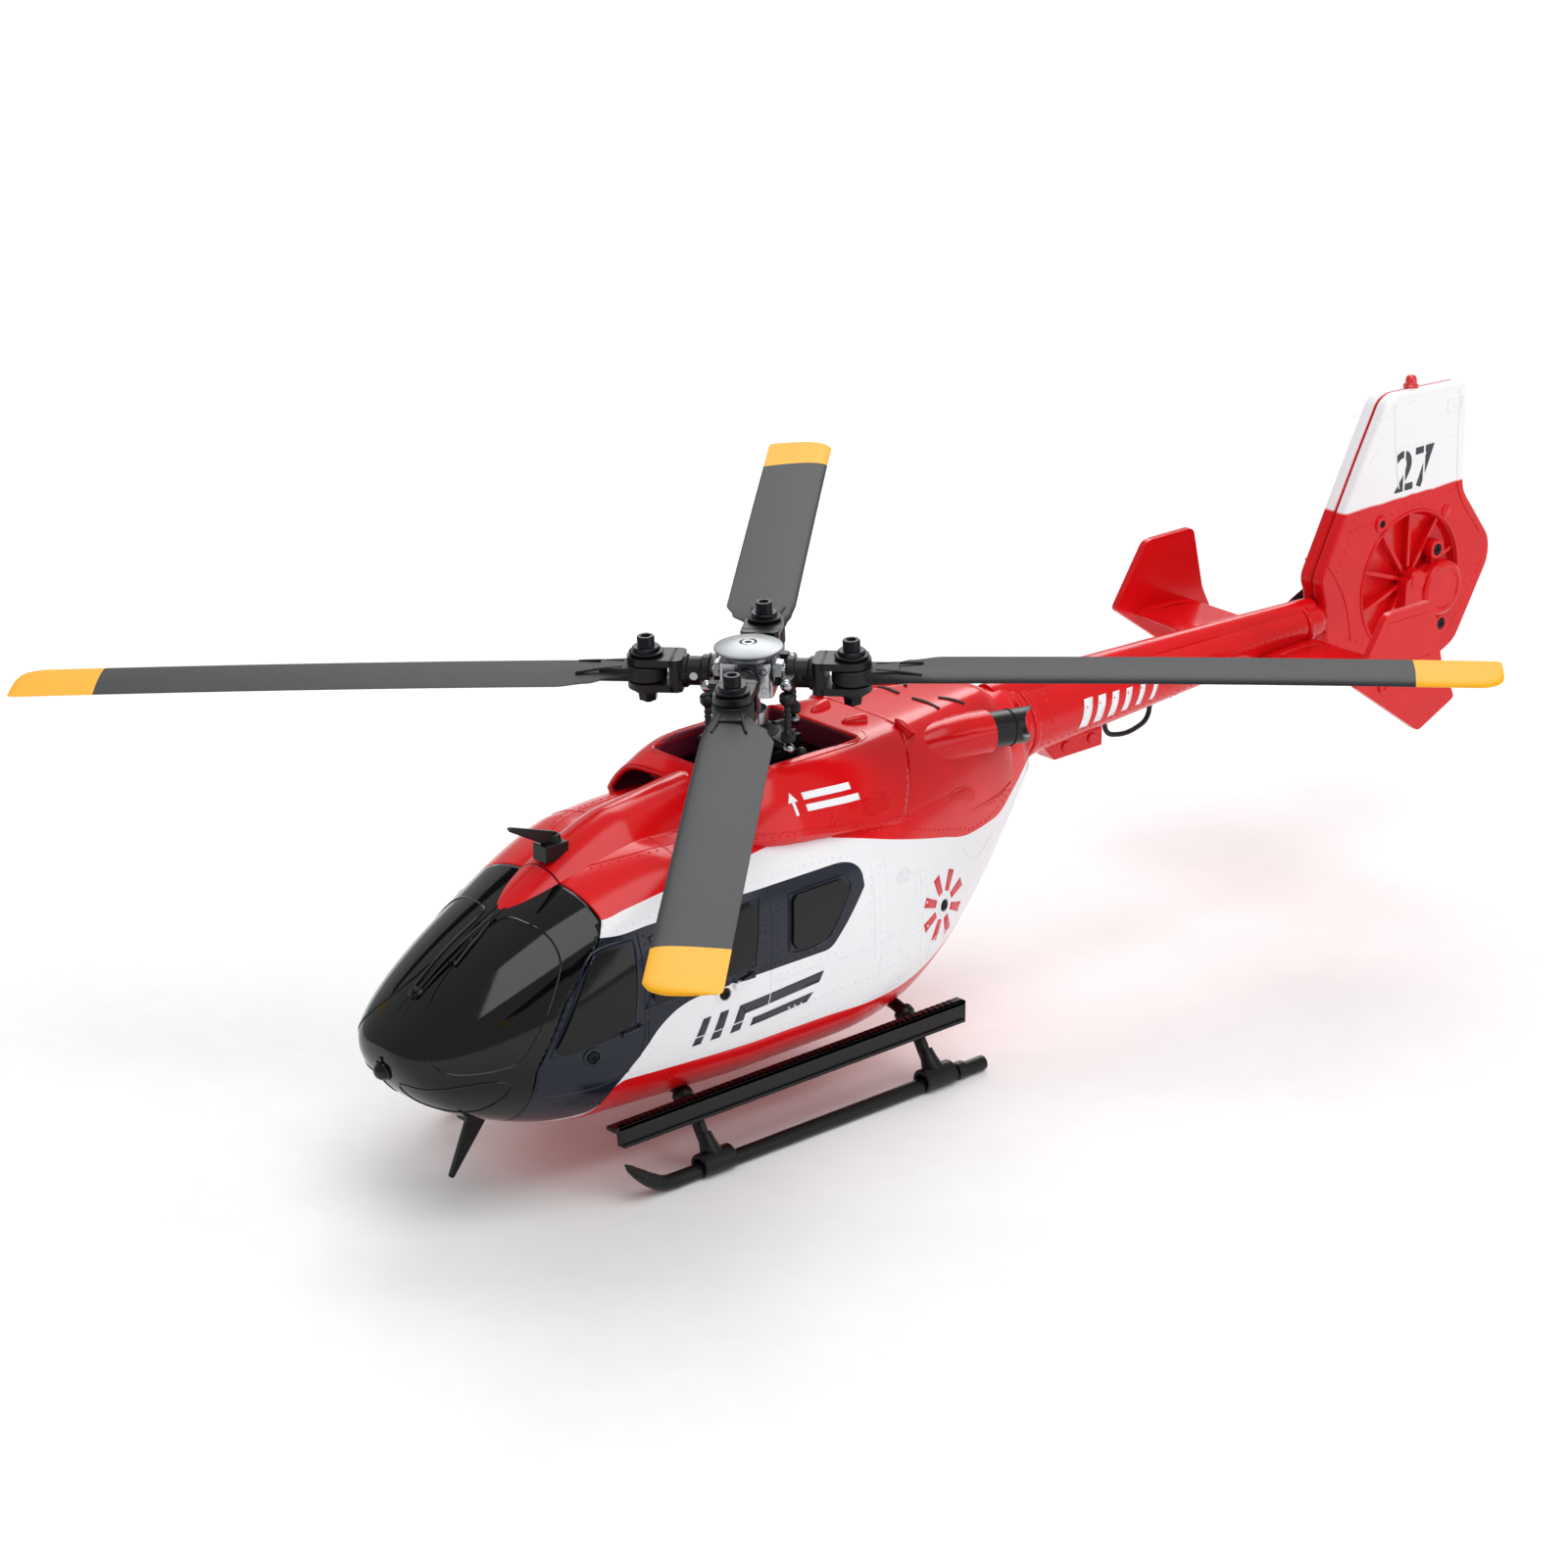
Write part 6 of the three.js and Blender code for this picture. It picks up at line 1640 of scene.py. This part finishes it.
bm = bmesh.new()
addBoxes(bm, ((-8, -38, 20.2), (8, -19, 21.4)))
for x, y in ((-6.6, -36.6), (6.6, -36.6), (-6.6, -20.4), (6.6, -20.4)):
    rodBetween(bm, (x, y, 21.3), (x, y, 21.6), 1.1, sides=20)
addBevel(makePiece(bm, "board", "airframe", boardGreen, replaces=["flight_board"]),
         0.15)
bm = bmesh.new()
addBoxes(bm, ((-5, -33, 21.3), (0, -28, 22.5)), ((1.4, -32, 21.3), (5, -28.6, 22.3)),
         ((-4, -26.4, 21.3), (4.4, -23, 23.3)),
         ((-7.4, -31, 21.3), (-6, -25, 23.4)), ((6, -31, 21.3), (7.4, -25, 23.4)),
         ((-7, -36, 19.3), (7, -33, 20.2)),
         ((-7, -24, 19.3), (7, -21, 20.2)))
for k in range(14):
    x, y = -5.6 + 0.86 * k, -35 + (k % 3) * 0.6
    addBoxes(bm, ((x, y, 21.3), (x + 0.5, y + 0.9, 21.75)))
addBevel(makePiece(bm, "board_parts", "airframe", chipBlack), 0.12)
bm = bmesh.new()
for k in range(8):
    for y in (-33.4, -28.2):
        addBoxes(bm, ((-4.8 + k * 0.58, y, 21.3), (-4.5 + k * 0.58, y + 0.6, 21.6)))
for k in range(7):
    addBoxes(bm, ((-3.6 + k * 1.1, -27, 21.35), (-3.2 + k * 1.1, -26.2, 22.4)))
makePiece(bm, "board_pins", "airframe", groundSteel)

# case, lugs, lid and seam of a servo about its own centre
servo = {"boxes": [((-2.6, -4, 40), (2.6, 4, 50.6)), ((-2.6, -5.4, 48.5), (2.6, 5.4, 49.7)),
                   ((-2.3, -3.7, 50.5), (2.3, 3.7, 51)), ((-2.7, -3.4, 42), (2.7, 3.4, 42.5))],
         "lug": 4.7, "shaftX": 2.9, "shaftZ": 47.4, "boss": 1.6, "holes": (3, 4.6, 6.2),
         "arm": [(0, 46.3), (6.6, 46.8), (7, 47.1), (7, 47.7), (6.6, 48.0), (0, 48.5)],
         "places": {"front": (-4, -12.4, -1), "left": (14, 4, 1), "right": (-14, 4, 1)}}
for name, (x, y, way) in servo["places"].items():
    bm = bmesh.new()
    addBoxes(bm, *([Vector(corner) + Vector((x, y, 0)) for corner in span] for span in servo["boxes"]))
    for dy in (-servo["lug"], servo["lug"]):
        rodBetween(bm, (x, y + dy, 49.6), (x, y + dy, 50.2), 0.6, sides=16)
    addBevel(makePiece(bm, f"servo_{name}_case", "airframe", satinBlack, replaces=[f"servo_{name}"]), 0.3)
    out = (1 if x > 0 else -1) * way
    x0, z = x + out * servo["shaftX"], servo["shaftZ"]
    bm = bmesh.new()
    rodBetween(bm, (x0, y, z), (x0 + out * 1.2, y, z), servo["boss"], sides=32)
    rodBetween(bm, (x0 + out * 1.1, y, z), (x0 + out * 1.35, y, z), servo["boss"] / 2, sides=20)
    addFrom(bm, plateMesh([[(y + dy, armZ) for dy, armZ in servo["arm"]]], *sorted((x0, x0 + out * 1.0))))
    for k in servo["holes"]:
        rodBetween(bm, (x0 + out * 0.9, y + k, z), (x0 + out * 1.12, y + k, z), 0.34, sides=12)
    addBevel(makePiece(bm, f"horn_{name}", f"servo_horn_{name}", hornWhite, replaces=[f"servo_horn_{name}"]), 0.12)

bm = bmesh.new()
turnedShape(bm, [(0, -63), (6.6, -63), (7.2, -62.6), (7.2, -61.4), (6.95, -61.2), (6.95, -53), (7.2, -52.8),
                 (7.2, -51.4), (6.8, -51), (3.4, -51), (3.2, -50.3), (0, -50.3)], None, 56)
makePiece(bm, "motor_can", "airframe", motorCan, headFrame, replaces=["main_motor"])
bm = bmesh.new()
for k in range(12):
    slot = bmesh.new()
    addBoxes(slot, ((6.4, -0.8, -60), (7.05, 0.8, -54.2)))
    addFrom(bm, slot, Matrix.Rotation(k * math.pi / 6, 4, "Z"))
addBevel(makePiece(bm, "motor_slots", "airframe", kraftTape, headFrame), 0.2)
print("inside done")

# stage
view = {"place": (0.6488, -0.5826, 0.3882), "aim": (-0.692, 0.631, -0.350), "lens": 110.1, "sensor": 36}
camera = bpy.data.objects.new("camera", bpy.data.cameras.new("camera"))
camera.location = Vector(view["place"]) + Vector((0, mastY / 1000, 0))
camera.rotation_euler = Vector(view["aim"]).to_track_quat("-Z", "Y").to_euler()
camera.data.lens = view["lens"]
camera.data.sensor_width = view["sensor"]
camera.data.clip_start = 0.01
bpy.context.scene.collection.objects.link(camera)
bpy.context.scene.camera = camera

floorMaterial = grainedMaterial("matt studio paper", "#f4f4f5", "#fafafa", 2.0, 0.01, 0.8, 0.9)
bm = bmesh.new()
bmesh.ops.create_grid(bm, x_segments=8, y_segments=8, size=6)
mesh = bpy.data.meshes.new("studio_floor")
bm.to_mesh(mesh)
bm.free()
mesh.materials.append(floorMaterial)
floor = bpy.data.objects.new("studio_floor", mesh)
bpy.context.scene.collection.objects.link(floor)

lamps = {  # place, aim, side length, watts
    "key": ((0.35, -0.1, 1.2), (0, 0, 0.05), 0.9, 7),
    "port": ((1.25, 0.35, 0.55), (0, 0, 0.05), 0.9, 3.6),
    "back": ((-1.5, 1.5, 1.7), (-1.0, 1.0, 0), 1.8, 26),
    "rim": ((-0.8, 0.8, 0.9), (0, 0, 0.05), 0.8, 3.5),
}
for name, (place, aim, size, power) in lamps.items():
    light = bpy.data.lights.new(name, "AREA")
    light.size = size
    light.energy = power
    lamp = bpy.data.objects.new(name, light)
    lamp.location = place
    lamp.rotation_euler = (Vector(aim) - Vector(place)).to_track_quat("-Z", "Y").to_euler()
    bpy.context.scene.collection.objects.link(lamp)
world = bpy.data.worlds.new("studio")
bpy.context.scene.world = world
world.use_nodes = True
world.node_tree.nodes["Background"].inputs["Color"].default_value = (1, 1, 1, 1)
world.node_tree.nodes["Background"].inputs["Strength"].default_value = 0.5
bpy.context.scene.view_settings.view_transform = "Standard"
